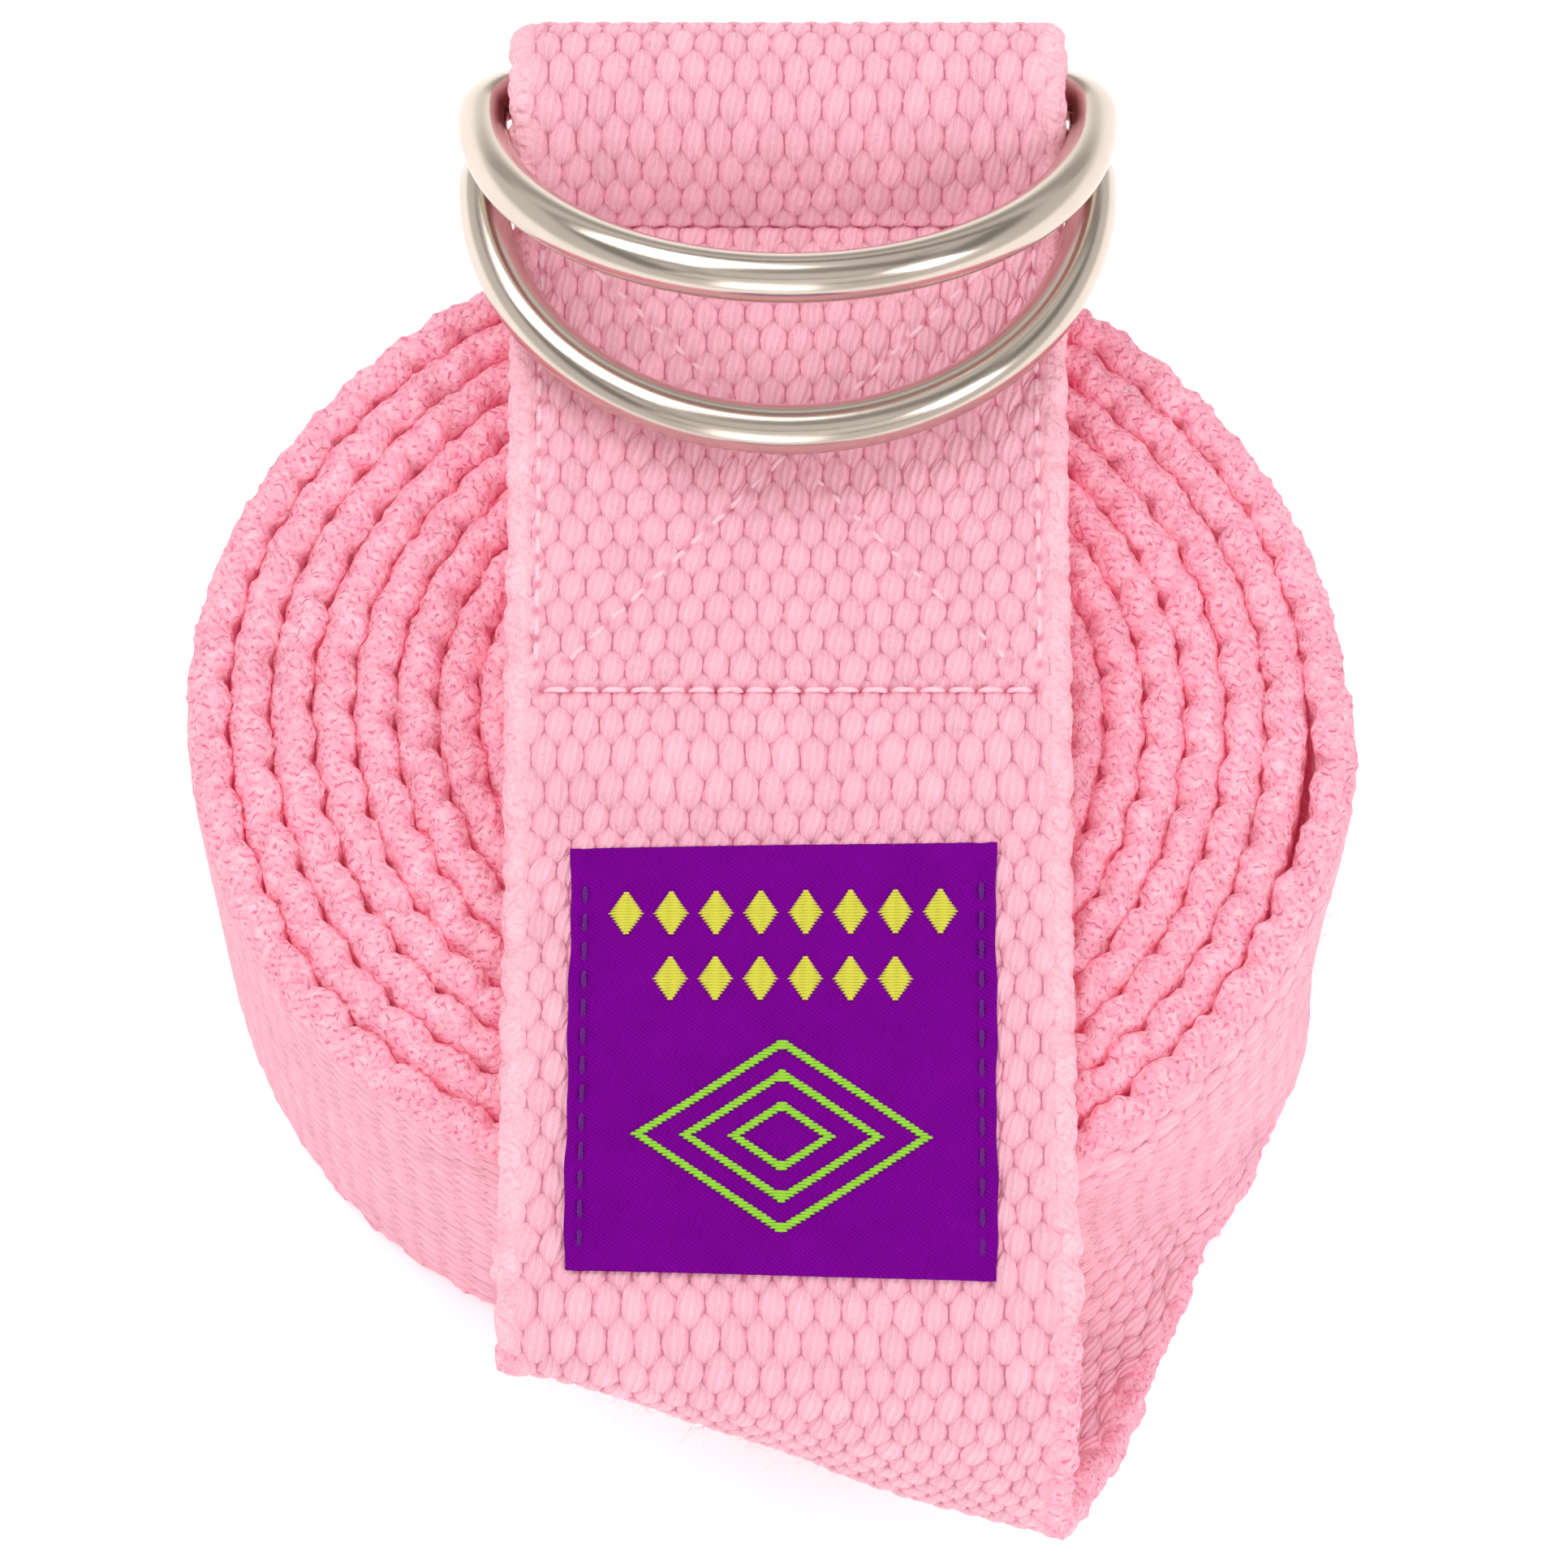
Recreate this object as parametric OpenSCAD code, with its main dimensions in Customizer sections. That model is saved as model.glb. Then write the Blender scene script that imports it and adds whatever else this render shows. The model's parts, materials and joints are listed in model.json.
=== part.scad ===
// Stretching strap: one length of cotton webbing with two D-rings sewn into its end.
// It is stored as a spiral roll that lies on its edge. The outer end of the webbing leaves
// the roll on the right, folds over at the front and crosses the roll to the back, where it
// loops round the straight bars of both rings. Millimetres, +Z up, -Y is the front.
// The origin is on the roll's axis, on the surface that the roll lies on.

/* [Webbing] */
// Width of the webbing, which is the height of the roll
strap_w = 38; // [36:0.5:38]
// Thickness of one layer of webbing
strap_t = 2.6; // [2.4:0.1:2.6]

/* [Roll] */
// Radius of the outermost turn at the middle of its thickness, left to right
roll_r = 38.3; // [37.5:0.1:38.5]
// Depth of the roll, front to back, over its width
roll_squash = 0.95; // [0.94:0.01:1]
// Distance from one turn to the next
turn_pitch = 2.95; // [2.9:0.05:3.1]
// Number of turns in the roll
roll_turns = 11.6; // [8:0.1:11.6]

/* [Crossing end] */
// Sideways place of the crossing end's centre line
end_x = 1; // [0:0.5:1]
// Gap between the roll and the end that lies on it
end_gap = 0.6; // [0.6:0.1:1]
// Place of the bend at the front where the end lifts off the roll
bend_y = -43.8; // [-45:0.1:-43]
// Place of the axis of the round pocket that holds the ring bars
pocket_y = 41.9; // [41.5:0.1:43]

/* [D-rings] */
// Thickness of the ring wire
wire_d = 3.4; // [3:0.1:3.4]
// Clear width between a ring's sides, for the webbing to pass through
ring_clear_w = 38.8; // [38.8:0.1:40]
// Bend radius of a ring's two corners at the middle of the wire
ring_corner_r = 3.4; // [3:0.1:3.6]
// Angle of the lower ring above the crossing end
lower_ring_angle = 13; // [13:1:15]
// Angle of the upper ring above the crossing end
upper_ring_angle = 35; // [34:1:40]

/* [Label] */
// Width of the woven label
label_w = 28.5; // [24:0.5:30]
// Length of the woven label along the webbing
label_l = 29.5; // [26:0.5:29.5]
// Thickness of the woven label
label_t = 0.5; // [0.3:0.1:0.6]
// Place of the label's middle along the webbing
label_y = -26.1; // [-27:0.1:-25]

/* [Stitching] */
// Thickness of the sewing thread
thread_d = 0.5; // [0.4:0.1:0.6]
// Length of one stitch in the box seam
stitch_l = 1.6; // [1.5:0.1:1.7]
// Distance from one stitch to the next in the box seam
stitch_pitch = 2; // [2:0.1:2.6]
// Width of the box seam
box_w = 34; // [30:0.5:34]

/* [Hidden] */

// Roll
turn_step = 10;            // degrees between the spiral's points
leave_angle = -10;         // where the outer end leaves the roll
half_t = strap_t / 2;
turn_count = round(roll_turns * 360 / turn_step);

// Crossing end: heights of its layers
low_z = strap_w + end_gap;                  // underside of the lower layer
mid_z = low_z + half_t;                     // height of the bend's axis
layer_gap = 0.1;                            // gap between the two sewn layers
up_z = low_z + strap_t + layer_gap;         // underside of the upper layer
top_z = up_z + strap_t;                     // top of the sewn layers
ramp_y0 = -11.5;                            // start of the ramp up onto the raw end
ramp_y1 = -5;                               // end of that ramp
raw_end_y = -4;                             // raw end of the folded-back layer
layers_end_y = 34.5;                        // where the layers part round the pocket
wall_clear = 0.4;                           // room round the two bars in the pocket

// Rings
wire_r = wire_d / 2;
bar_offset = wire_r + 0.25;                 // each bar's centre from the pocket's axis
bar_tilt = 30;                              // the rear bar sits this far above the front one
pocket_r = bar_offset + wire_r + wall_clear;
pocket_z = low_z + strap_t + 2.9;           // high enough for a ring to clear the sewn layers
ring_r = (ring_clear_w + wire_d) / 2;       // half width of a ring at the middle of its wire
lower_bar = [pocket_y - bar_offset * cos(bar_tilt), pocket_z - bar_offset * sin(bar_tilt)];
upper_bar = [pocket_y + bar_offset * cos(bar_tilt), pocket_z + bar_offset * sin(bar_tilt)];

// Seams
box_y0 = -0.7;
box_y1 = 33.5;
bobbin_t = 0.3;
seam_lift = 0.02;                           // thread lies just above the cloth
label_x = end_x - 0.4;
label_z = low_z + strap_t + seam_lift;
brocade_t = 0.15;

PINK = [0.96, 0.66, 0.75];
NICKEL = [0.80, 0.78, 0.74];
PURPLE = [0.42, 0.0, 0.56];
YELLOW = [0.86, 0.84, 0.27];
GREEN = [0.60, 0.84, 0.20];

// ---- Roll ----------------------------------------------------------------

// Point on the spiral, side = 1 outside, -1 inside, after n steps inward from the outer end
function spiral_point(n, side) =
    let (a = leave_angle + n * turn_step,
         r = roll_r - turn_pitch * n * turn_step / 360,
         nx = roll_squash * cos(a),
         ny = sin(a),
         nl = sqrt(nx * nx + ny * ny))
    [r * cos(a) + side * half_t * nx / nl, roll_squash * r * sin(a) + side * half_t * ny / nl];

function spiral_outline() = concat(
    [for (n = [0:turn_count]) spiral_point(n, 1)],
    [for (n = [turn_count:-1:0]) spiral_point(n, -1)]);

module webbing_roll() {
    color(PINK) linear_extrude(height = strap_w) polygon(spiral_outline());
}

// The inner end of the webbing is turned back on itself and sewn, inside the roll's eye
hem_half_l = 1.2;

module free_end_hem() {
    color(PINK) linear_extrude(height = strap_w) union() {
        square([2 * hem_half_l, strap_t - 1], center = true);
        for (s = [-1, 1]) translate([s * hem_half_l, 0]) circle(d = strap_t - 1, $fn = 32);
    }
}

module hem_seam() {
    hem_side = (strap_t - 1) / 2;
    color(PINK) for (z = [3:stitch_pitch:strap_w - 3])
        translate([0, -hem_side - bobbin_t / 2 - seam_lift, z])
            cube([0.4, bobbin_t, stitch_l], center = true);
}

// ---- Front fold ------------------------------------------------------------

// Lines across the webbing from its upper edge to its lower one, from where it leaves the
// roll, round the diagonal fold and up to the bend
end_l = end_x - strap_w / 2;
end_r = end_x + strap_w / 2;
fold_lines = [
    [[37.0, -9, 36.4], [37.0, -9, 0.1 + half_t]],
    [[34.4, -16, 36.4], [35.6, -16, 0.1 + half_t]],
    [[28.8, -24, 36.4], [33.6, -24, 2.2]],
    [[19.5, -31.6, 36.4], [30.8, -33, 4.2]],
    [[8.5, -36.6, 36.2], [27.6, -41, 7.5]],
    [[-3, -40.2, 35.8], [24.0, -47.5, 12.5]],
    [[-12, -43.2, 35.6], [21.0, -51, 18.5]],
    [[end_l + 1, -45.8, 36.4], [end_r - 0.5, -52.6, 24]],
    [[end_l + 0.3, -47, 37.6], [end_r - 0.3, -51.8, 31]],
    [[end_l, bend_y - 3.3, mid_z - 1], [end_r, bend_y - 3.9, mid_z - 1.4]]
];

module line_rod(ends) {
    d = ends[1] - ends[0];
    l = norm(d);
    translate(ends[0]) rotate([0, acos(d[2] / l), atan2(d[1], d[0])])
        cylinder(r = half_t, h = l, $fn = 16);
}

module webbing_fold() {
    color(PINK) for (i = [0:len(fold_lines) - 2]) hull() {
        line_rod(fold_lines[i]);
        line_rod(fold_lines[i + 1]);
    }
}

// ---- Crossing end ----------------------------------------------------------

// Extrudes a profile drawn as (y, z) across the width of the webbing
module across(w) {
    translate([end_x - w / 2, 0, 0]) rotate([90, 0, 90]) linear_extrude(height = w) children();
}

module webbing_end() {
    loop_r = pocket_r + strap_t;
    color(PINK) across(strap_w) difference() {
        union() {
            // round nose on the bend's axis
            translate([bend_y, mid_z]) circle(r = half_t, $fn = 48);
            // single layer, ramp and upper layer
            polygon([[bend_y, low_z], [ramp_y0, low_z], [ramp_y1, up_z], [layers_end_y, up_z],
                     [pocket_y - 3, pocket_z + loop_r - 4.5], [pocket_y, pocket_z + loop_r],
                     [pocket_y - 2, pocket_z + loop_r - 0.3],
                     [layers_end_y, top_z], [ramp_y1, top_z], [ramp_y0, low_z + strap_t],
                     [bend_y, low_z + strap_t]]);
            // layer that comes back under it to the raw end
            polygon([[raw_end_y, low_z], [layers_end_y, low_z],
                     [pocket_y - 2, pocket_z - loop_r + 0.3], [pocket_y, pocket_z - loop_r],
                     [pocket_y - 3, pocket_z - loop_r + 4.5],
                     [layers_end_y, low_z + strap_t], [raw_end_y, low_z + strap_t]]);
            // loop round the bars
            translate([pocket_y, pocket_z]) circle(r = loop_r, $fn = 96);
        }
        translate([pocket_y, pocket_z]) circle(r = pocket_r, $fn = 96);
    }
}

// ---- D-rings ---------------------------------------------------------------

// Wire bent along an arc about +Z, from angle a0 through turn degrees
module bent_wire(r, a0, turn) {
    rotate([0, 0, a0]) rotate_extrude(angle = turn, $fn = 96)
        translate([r, 0]) circle(r = wire_r, $fn = 32);
}

// Ring lying flat: its bar along X through the origin, its bow towards -Y
module d_ring() {
    bar_half = ring_r - ring_corner_r;
    color(NICKEL) union() {
        translate([-bar_half, 0, 0]) rotate([0, 90, 0]) cylinder(r = wire_r, h = 2 * bar_half, $fn = 32);
        translate([bar_half, -ring_corner_r, 0]) bent_wire(ring_corner_r, 0, 90);
        translate([-bar_half, -ring_corner_r, 0]) bent_wire(ring_corner_r, 90, 90);
        translate([0, -ring_corner_r, 0]) bent_wire(ring_r, 180, 180);
    }
}

module placed_ring(bar, angle) {
    translate([end_x, bar[0], bar[1]]) rotate([-angle, 0, 0]) d_ring();
}

module lower_d_ring() {
    placed_ring(lower_bar, lower_ring_angle);
}

module upper_d_ring() {
    placed_ring(upper_bar, upper_ring_angle);
}

// ---- Label -----------------------------------------------------------------

module woven_label() {
    color(PURPLE) translate([label_x - label_w / 2, label_y - label_l / 2, label_z])
        cube([label_w, label_l, label_t]);
}

module diamond(w, h) {
    polygon([[-w / 2, 0], [0, -h / 2], [w / 2, 0], [0, h / 2]]);
}

// Two rows of small yellow diamonds across the upper part of the label
module label_diamonds() {
    diamond_pitch = 3;
    rows = [[4, 10.0], [3, 5.4]];
    color(YELLOW) translate([label_x, label_y, label_z + label_t])
        linear_extrude(height = brocade_t) for (row = rows, k = [-row[0] + 0.5:row[0] - 0.5])
            translate([k * diamond_pitch, row[1]]) diamond(2.4, 3.2);
}

// Nested green rhombus outlines on the lower part of the label
module label_motif() {
    line_w = 0.9;
    color(GREEN) translate([label_x, label_y - 5.4, label_z + label_t])
        linear_extrude(height = brocade_t) for (w = [20, 13.6, 7.2]) difference() {
            diamond(w, w * 0.66);
            diamond(w - 2 * line_w, (w - 2 * line_w) * 0.66);
        }
}

// Row of stitches along +Y on the label, near one of its side edges
module label_seam(side) {
    label_stitch_l = 1.3;
    label_stitch_pitch = 2;
    seam_d = 0.3;
    seam_x = label_x + side * (label_w / 2 - 1);
    seam_half = label_l / 2 - 1.5;
    color(PURPLE) for (y = [-seam_half:label_stitch_pitch:seam_half - label_stitch_l])
        translate([seam_x, label_y + y, label_z + label_t + seam_lift + seam_d / 2])
            rotate([-90, 0, 0]) cylinder(d = seam_d, h = label_stitch_l, $fn = 16);
}

module label_left_seam() {
    label_seam(-1);
}

module label_right_seam() {
    label_seam(1);
}

// ---- Box seam ----------------------------------------------------------------

// The seam's lines: four sides and the two diagonals, as [start, end]
box_l = end_x - box_w / 2;
box_r = end_x + box_w / 2;
box_gap = 2;               // diagonals stop short of the corners
box_lines = [
    [[box_l, box_y0], [box_r, box_y0]],
    [[box_l, box_y1], [box_r, box_y1]],
    [[box_l, box_y0 + box_gap], [box_l, box_y1 - box_gap]],
    [[box_r, box_y0 + box_gap], [box_r, box_y1 - box_gap]],
    [[box_l + box_gap, box_y0 + box_gap], [box_r - box_gap, box_y1 - box_gap]],
    [[box_l + box_gap, box_y1 - box_gap], [box_r - box_gap, box_y0 + box_gap]]
];
diagonals_from = 4;

// Places its children at each stitch of the box seam, turned along the seam
module at_stitches() {
    for (i = [0:len(box_lines) - 1]) {
        a = box_lines[i][0];
        d = box_lines[i][1] - a;
        count = floor((norm(d) + stitch_pitch - stitch_l) / stitch_pitch);
        spare = (norm(d) - (count - 1) * stitch_pitch - stitch_l) / 2;
        for (k = [0:count - 1]) {
            along = spare + k * stitch_pitch;
            middle = abs(along + stitch_l / 2 - norm(d) / 2);
            // the second diagonal skips the stitch where it crosses the first
            if (i <= diagonals_from || middle > stitch_pitch * 0.9)
                translate([a[0], a[1], 0]) rotate([0, 0, atan2(d[1], d[0])])
                    translate([along, 0, 0]) children();
        }
    }
}

module box_seam_thread() {
    color(PINK) translate([0, 0, top_z + seam_lift + thread_d / 2])
        at_stitches() rotate([0, 90, 0]) cylinder(d = thread_d, h = stitch_l, $fn = 16);
}

module box_seam_bobbin() {
    color(PINK) translate([0, 0, low_z - bobbin_t - seam_lift])
        at_stitches() translate([0, -bobbin_t, 0]) cube([stitch_l, 2 * bobbin_t, bobbin_t]);
}

webbing_roll();
webbing_fold();
webbing_end();
free_end_hem();
hem_seam();
lower_d_ring();
upper_d_ring();
woven_label();
label_diamonds();
label_motif();
label_left_seam();
label_right_seam();
box_seam_thread();
box_seam_bobbin();
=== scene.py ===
"""Looks of a rolled stretching strap: cotton webbing, two D-rings, a woven label and its seams.

The webbing is one long strip. Its middle surface is worked out once, as stations along the
strip by places across it, and is then cut into five pieces that share their cut lines.
Lengths below are in millimetres, apart from the stage's; Blender gets metres.
"""
import json
import math

import bpy
import numpy as np

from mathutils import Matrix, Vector


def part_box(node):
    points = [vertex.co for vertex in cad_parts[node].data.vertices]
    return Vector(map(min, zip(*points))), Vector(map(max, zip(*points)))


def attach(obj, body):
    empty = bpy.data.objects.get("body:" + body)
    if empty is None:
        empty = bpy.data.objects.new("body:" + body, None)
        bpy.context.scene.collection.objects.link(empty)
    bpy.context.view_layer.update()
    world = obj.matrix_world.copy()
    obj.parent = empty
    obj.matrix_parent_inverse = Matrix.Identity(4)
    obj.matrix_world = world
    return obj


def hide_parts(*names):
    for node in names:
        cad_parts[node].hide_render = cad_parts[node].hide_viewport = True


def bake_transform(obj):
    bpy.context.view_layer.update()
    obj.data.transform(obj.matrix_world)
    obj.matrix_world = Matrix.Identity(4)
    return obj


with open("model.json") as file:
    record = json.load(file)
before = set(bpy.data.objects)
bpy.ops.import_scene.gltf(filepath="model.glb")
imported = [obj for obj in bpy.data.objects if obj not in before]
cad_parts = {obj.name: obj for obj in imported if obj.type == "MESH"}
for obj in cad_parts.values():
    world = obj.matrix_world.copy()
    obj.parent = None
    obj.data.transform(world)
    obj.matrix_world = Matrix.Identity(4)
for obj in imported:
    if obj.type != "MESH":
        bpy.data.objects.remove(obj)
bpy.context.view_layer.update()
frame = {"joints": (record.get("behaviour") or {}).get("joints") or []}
MM = 0.001
TAU = 2 * math.pi
FORWARD = np.array([0.0, -1.0, 0.0])
UP = np.array([0.0, 0.0, 1.0])


def box_mm(node):
    """Lowest and highest corner of a CAD node, in millimetres."""
    low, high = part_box(node)
    return np.array(low) / MM, np.array(high) / MM


def joint_mm(name):
    """Place of a joint, in millimetres."""
    for joint in frame["joints"]:
        if joint["name"] == name:
            return np.array(joint["pos_m"]) / MM
    raise KeyError(name)


# ---- Driving sizes ----

ROLL_LOW, ROLL_HIGH = box_mm("webbing_roll")
END_LOW, END_HIGH = box_mm("webbing_end")
LABEL_LOW, LABEL_HIGH = box_mm("woven_label")
BEND = joint_mm("end_lift")

STRAP_W = ROLL_HIGH[2] - ROLL_LOW[2]
HALF_W = STRAP_W / 2
END_X = (END_LOW[0] + END_HIGH[0]) / 2
LAYER_T = 2 * (BEND[1] - END_LOW[1])        # thickness of the CAD webbing
LOW_MID = BEND[2]                           # middle height of the crossing's lower layer
UP_MID = LOW_MID + LAYER_T + 0.1            # and of its upper layer
LOOP_OUT = (END_HIGH[2] - END_LOW[2]) / 2
LOOP_R = LOOP_OUT - LAYER_T / 2             # loop at the middle of the webbing
LOOP_Y = END_HIGH[1] - LOOP_OUT
LOOP_Z = (END_HIGH[2] + END_LOW[2]) / 2

# Roll: a spiral that starts outside at LEAVE_ANGLE and winds inward
ROLL_R = 38.3
ROLL_SQUASH = 0.95
TURN_PITCH = 2.75
ROLL_TURNS = 12.4
ROLL_X = -0.5                               # the hand-wound roll sits a little to the left
LEFT_BULGE = 0.04                           # and is slacker on its left side
LEAVE_ANGLE = -10.0
FOLD_ANGLE = 12.0                           # where the front fold's piece takes over
MEAN_SQUASH = (1 + ROLL_SQUASH) / 2
LAYER_ROOM = 2.95                           # least gap between middles of layers in the fold

# Crossing end
RAMP_Y = (-11.5, -5.0)                      # ramp up onto the raw end
RAW_END_Y = -4.0
LAYERS_END_Y = 34.5                         # where the two layers part round the bars
FLAT_Y = -38.0                              # the crossing is flat from here on
FOLD_L = 96.0                               # webbing from FOLD_ANGLE to FLAT_Y
CUT_BACK = 8.3                              # the bending piece starts this far before FLAT_Y

# Weave: plump seeds in rows, each row half a seed aside from the last
SEED_PITCH = 1.8                            # across the webbing
ROW_PITCH = 2.02                            # along it
SEED_HALF = (0.47, 0.71)                    # half sizes, in pitches
SEED_LIFT = 0.37
CORE_HALF = 1.12                            # half thickness under the seeds
EDGE_ROUND = 1.2                            # width of the rounded edge
EDGE_STEPS = 7                              # places round it
BEAD_LIFT = 0.75                            # bulges along the edges
BEAD_PITCH = 2 * ROW_PITCH

# Box seam, as in the CAD
SEAM_LOW, SEAM_HIGH = box_mm("box_seam_thread")
STITCH_PITCH = 1.95
STITCH_L = 1.75
THREAD_R = 0.21
STITCH_RINGS = 15
STITCH_SIDES = 12
SEAM_INSET = 0.25                           # half the CAD thread
SEAM_X = (SEAM_LOW[0] + SEAM_INSET, SEAM_HIGH[0] - SEAM_INSET)
SEAM_Y = (SEAM_LOW[1] + SEAM_INSET, SEAM_HIGH[1] - SEAM_INSET + 0.7)

WIRE_R = 1.7
LABEL_STITCH_L = 1.3
LABEL_STITCH_PITCH = 2.0
HEM_STITCH_L = 1.6
HEM_STITCH_PITCH = 2.0

# Loose fibres, and how many stand on each piece
ROLL_FIBRES = {"webbing_inner_turns": 3200, "webbing_outer_turn": 1500, "webbing_front_fold": 1500}
END_FIBRES = {"webbing_crossing_end": 2200}
FIBRE_LENGTH = (0.35, 0.45, 1.9)            # least, spread, most
FIBRE_R = (0.009, 0.016)
FIBRE_SPREAD = 0.75                         # how far they lean from the surface's normal
FIBRE_CURL = 0.45
FIBRE_RINGS = 5
FIBRE_CLEAR = 1.5                           # bare margin round the label

# Light and camera
WORLD_LIGHT = 0.80
# Area lights: name, place in metres, size in metres, watts
LIGHTS = [("key", (-0.30, 0.35, 0.75), 0.60, 3.0),
          ("fill", (0.60, -0.30, 0.55), 0.30, 1.7),
          ("front", (-0.1, -0.8, 0.35), 0.5, 1.2)]
# Cards that only the metal reflects: name, elevation, azimuth, sides in metres, brightness
CARDS = [("card_top", 84, 180, 1.4, 0.34, 0.36),
         ("card_back", 40, 180, 1.6, 0.16, 0.22),
         ("card_back_low", 14, 180, 1.6, 0.22, 0.45),
         ("card_line_front", 60, 0, 1.5, 0.035, 0.02),
         ("card_white_front", 50, 0, 1.5, 0.20, 0.95),
         ("card_line_low", 34, 0, 1.5, 0.05, 0.05),
         ("card_left", 42, 90, 1.2, 0.26, 0.25),
         ("card_left_line", 62, 90, 1.2, 0.03, 0.03),
         ("card_right", 42, -90, 1.2, 0.26, 0.25),
         ("card_right_line", 62, -90, 1.2, 0.03, 0.03)]
CARD_DISTANCE = 0.9                         # metres
CAMERA_ELEVATION = 69
CAMERA_DISTANCE = 470
CAMERA_LENS = 158.9
CAMERA_TARGET = (0.72, -5.24, 38)


# ---- The webbing's middle surface ----

def unit(vectors):
    return vectors / np.linalg.norm(vectors, axis=-1, keepdims=True)


def lengths_along(points):
    """Length of a line of points up to each of them."""
    steps = np.linalg.norm(np.diff(points, axis=0), axis=1)
    return np.concatenate([[0], np.cumsum(steps)])


def ease(share):
    """0 at 0 and 1 at 1, with level ends."""
    return share * share * (3 - 2 * share)


def spiral_radius(angle):
    return ROLL_R - TURN_PITCH * (angle - LEAVE_ANGLE) / 360


def spiral(angle, w, rise=0.0):
    """Point of the roll at an angle in degrees and a place w across the webbing."""
    r = spiral_radius(angle)
    a = np.radians(angle)
    wobble = 1 + 0.004 * np.sin(3 * a + 1.0) + 0.003 * np.sin(7 * a)
    x = ROLL_X + r * wobble * np.cos(a) * (1 + LEFT_BULGE * (1 - np.cos(a)) / 2)
    y = ROLL_SQUASH * r * wobble * np.sin(a)
    return np.stack(np.broadcast_arrays(x, y, HALF_W - w + rise), -1)


def spiral_table():
    """Angles along the roll from its inner end to the fold, and the length up to each."""
    inner = LEAVE_ANGLE + 360 * ROLL_TURNS
    angles = np.linspace(inner, FOLD_ANGLE, 24000)
    return angles, lengths_along(spiral(angles, 0.0))


SPIRAL_ANGLES, SPIRAL_LENGTHS = spiral_table()
ROLL_L = SPIRAL_LENGTHS[-1]
# Where the outer turn starts
PACKED_S = np.interp(-(FOLD_ANGLE + 360), -SPIRAL_ANGLES, SPIRAL_LENGTHS)


def polyline(points, count):
    """count points evenly spaced along a line of points."""
    points = np.array(points, float)
    along = lengths_along(points)
    at = np.linspace(0, along[-1], count)
    columns = [np.interp(at, along, points[:, k]) for k in range(points.shape[1])]
    return np.stack(columns, -1)


# Rough routes of the webbing's two edges round the front fold. The solver starts from them.
FOLD_LEFT = (END_X - HALF_W + 0.8, -44.3, 38.3)
FOLD_RIGHT = (END_X + HALF_W - 0.9, -51.4, 22.0)
UPPER_EDGE = [(37.6, -6, 38), (33.8, -17.2, 38), (27.5, -25.6, 38), (18.5, -31.8, 37.6),
              (5, -37.9, 33.5), (-8, -42.3, 33.5), (-16, -44.4, 36.5), (-17.8, -44.8, 38.6),
              (-18, -43.6, 39.6), (-18, -41.5, 39.9)]
LOWER_EDGE = [(37.9, -5, 0), (37, -13, 0.3), (34.2, -21.8, 1.5), (29.8, -30.3, 4),
              (25.2, -38.8, 9.5), (21.2, -46.8, 16), FOLD_RIGHT, (19, -51.6, 27),
              (19.3, -51, 34), (20, -47, 38.9), (20, -42, 39.9)]
HELD_ON_LOWER = (2, 3, 4, 5)                # points of LOWER_EDGE that hold the edge softly
FOLD_LEFT_BACK = 9.0                        # webbing between the left corner and FLAT_Y
FOLD_RIGHT_BACK = 26.0                      # and between the right corner and FLAT_Y

# Links between grid points: (rows apart, columns apart, stiffness, resists only bending)
LINKS = [(1, 0, 1.0, False), (0, 1, 1.0, False), (1, 1, 0.6, False), (1, -1, 0.6, False),
         (2, 0, 0.5, True), (0, 2, 0.5, True), (4, 0, 0.175, True), (0, 4, 0.3, True),
         (0, 8, 0.15, True), (2, 2, 0.2, True), (2, -2, 0.2, True)]


def fold_start(rows, columns, w):
    """First guess of the fold: a ruled surface between the two edges, with held ends."""
    du = FOLD_L / rows
    upper = [tuple(spiral(FOLD_ANGLE, -HALF_W))] + UPPER_EDGE + [(END_X - HALF_W, FLAT_Y, LOW_MID)]
    lower = [tuple(spiral(FOLD_ANGLE, HALF_W))] + LOWER_EDGE + [(END_X + HALF_W, FLAT_Y, LOW_MID)]
    share = ((w + HALF_W) / STRAP_W)[None, :, None]
    grid = polyline(upper, rows + 1)[:, None] * (1 - share) + polyline(lower, rows + 1)[:, None] * share
    free = np.ones((rows + 1, columns + 1))
    for i in range(4):
        grid[i] = spiral(FOLD_ANGLE - math.degrees(i * du / (ROLL_R * MEAN_SQUASH)), w)
        free[i] = 0
    for i in range(3):
        grid[rows - i] = crossing_row(FLAT_Y - i * du, w)
        free[rows - i] = 0
    return grid, free


def crossing_row(y, w):
    return np.stack(np.broadcast_arrays(END_X + w, y, LOW_MID), -1)


def fold_holds(rows, columns):
    """Grid points that are drawn softly to a place: (row, column, place, pull)."""
    du = FOLD_L / rows
    holds = []
    left = np.array(FOLD_LEFT)
    right = np.array(FOLD_RIGHT)
    for j in range(columns + 1):
        share = j / columns
        back = FOLD_LEFT_BACK + (FOLD_RIGHT_BACK - FOLD_LEFT_BACK) * share
        holds.append((rows - round(back / du), j, left + (right - left) * share, 0.15))
    lower = np.array(LOWER_EDGE, float)
    corner = LOWER_EDGE.index(FOLD_RIGHT)
    steps = np.linalg.norm(np.diff(lower[:corner + 1], axis=0), axis=1)
    for k in HELD_ON_LOWER:
        back = FOLD_RIGHT_BACK + steps[k:].sum()
        holds.append((rows - round(back / du), columns, lower[k], 0.3))
    return holds


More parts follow.
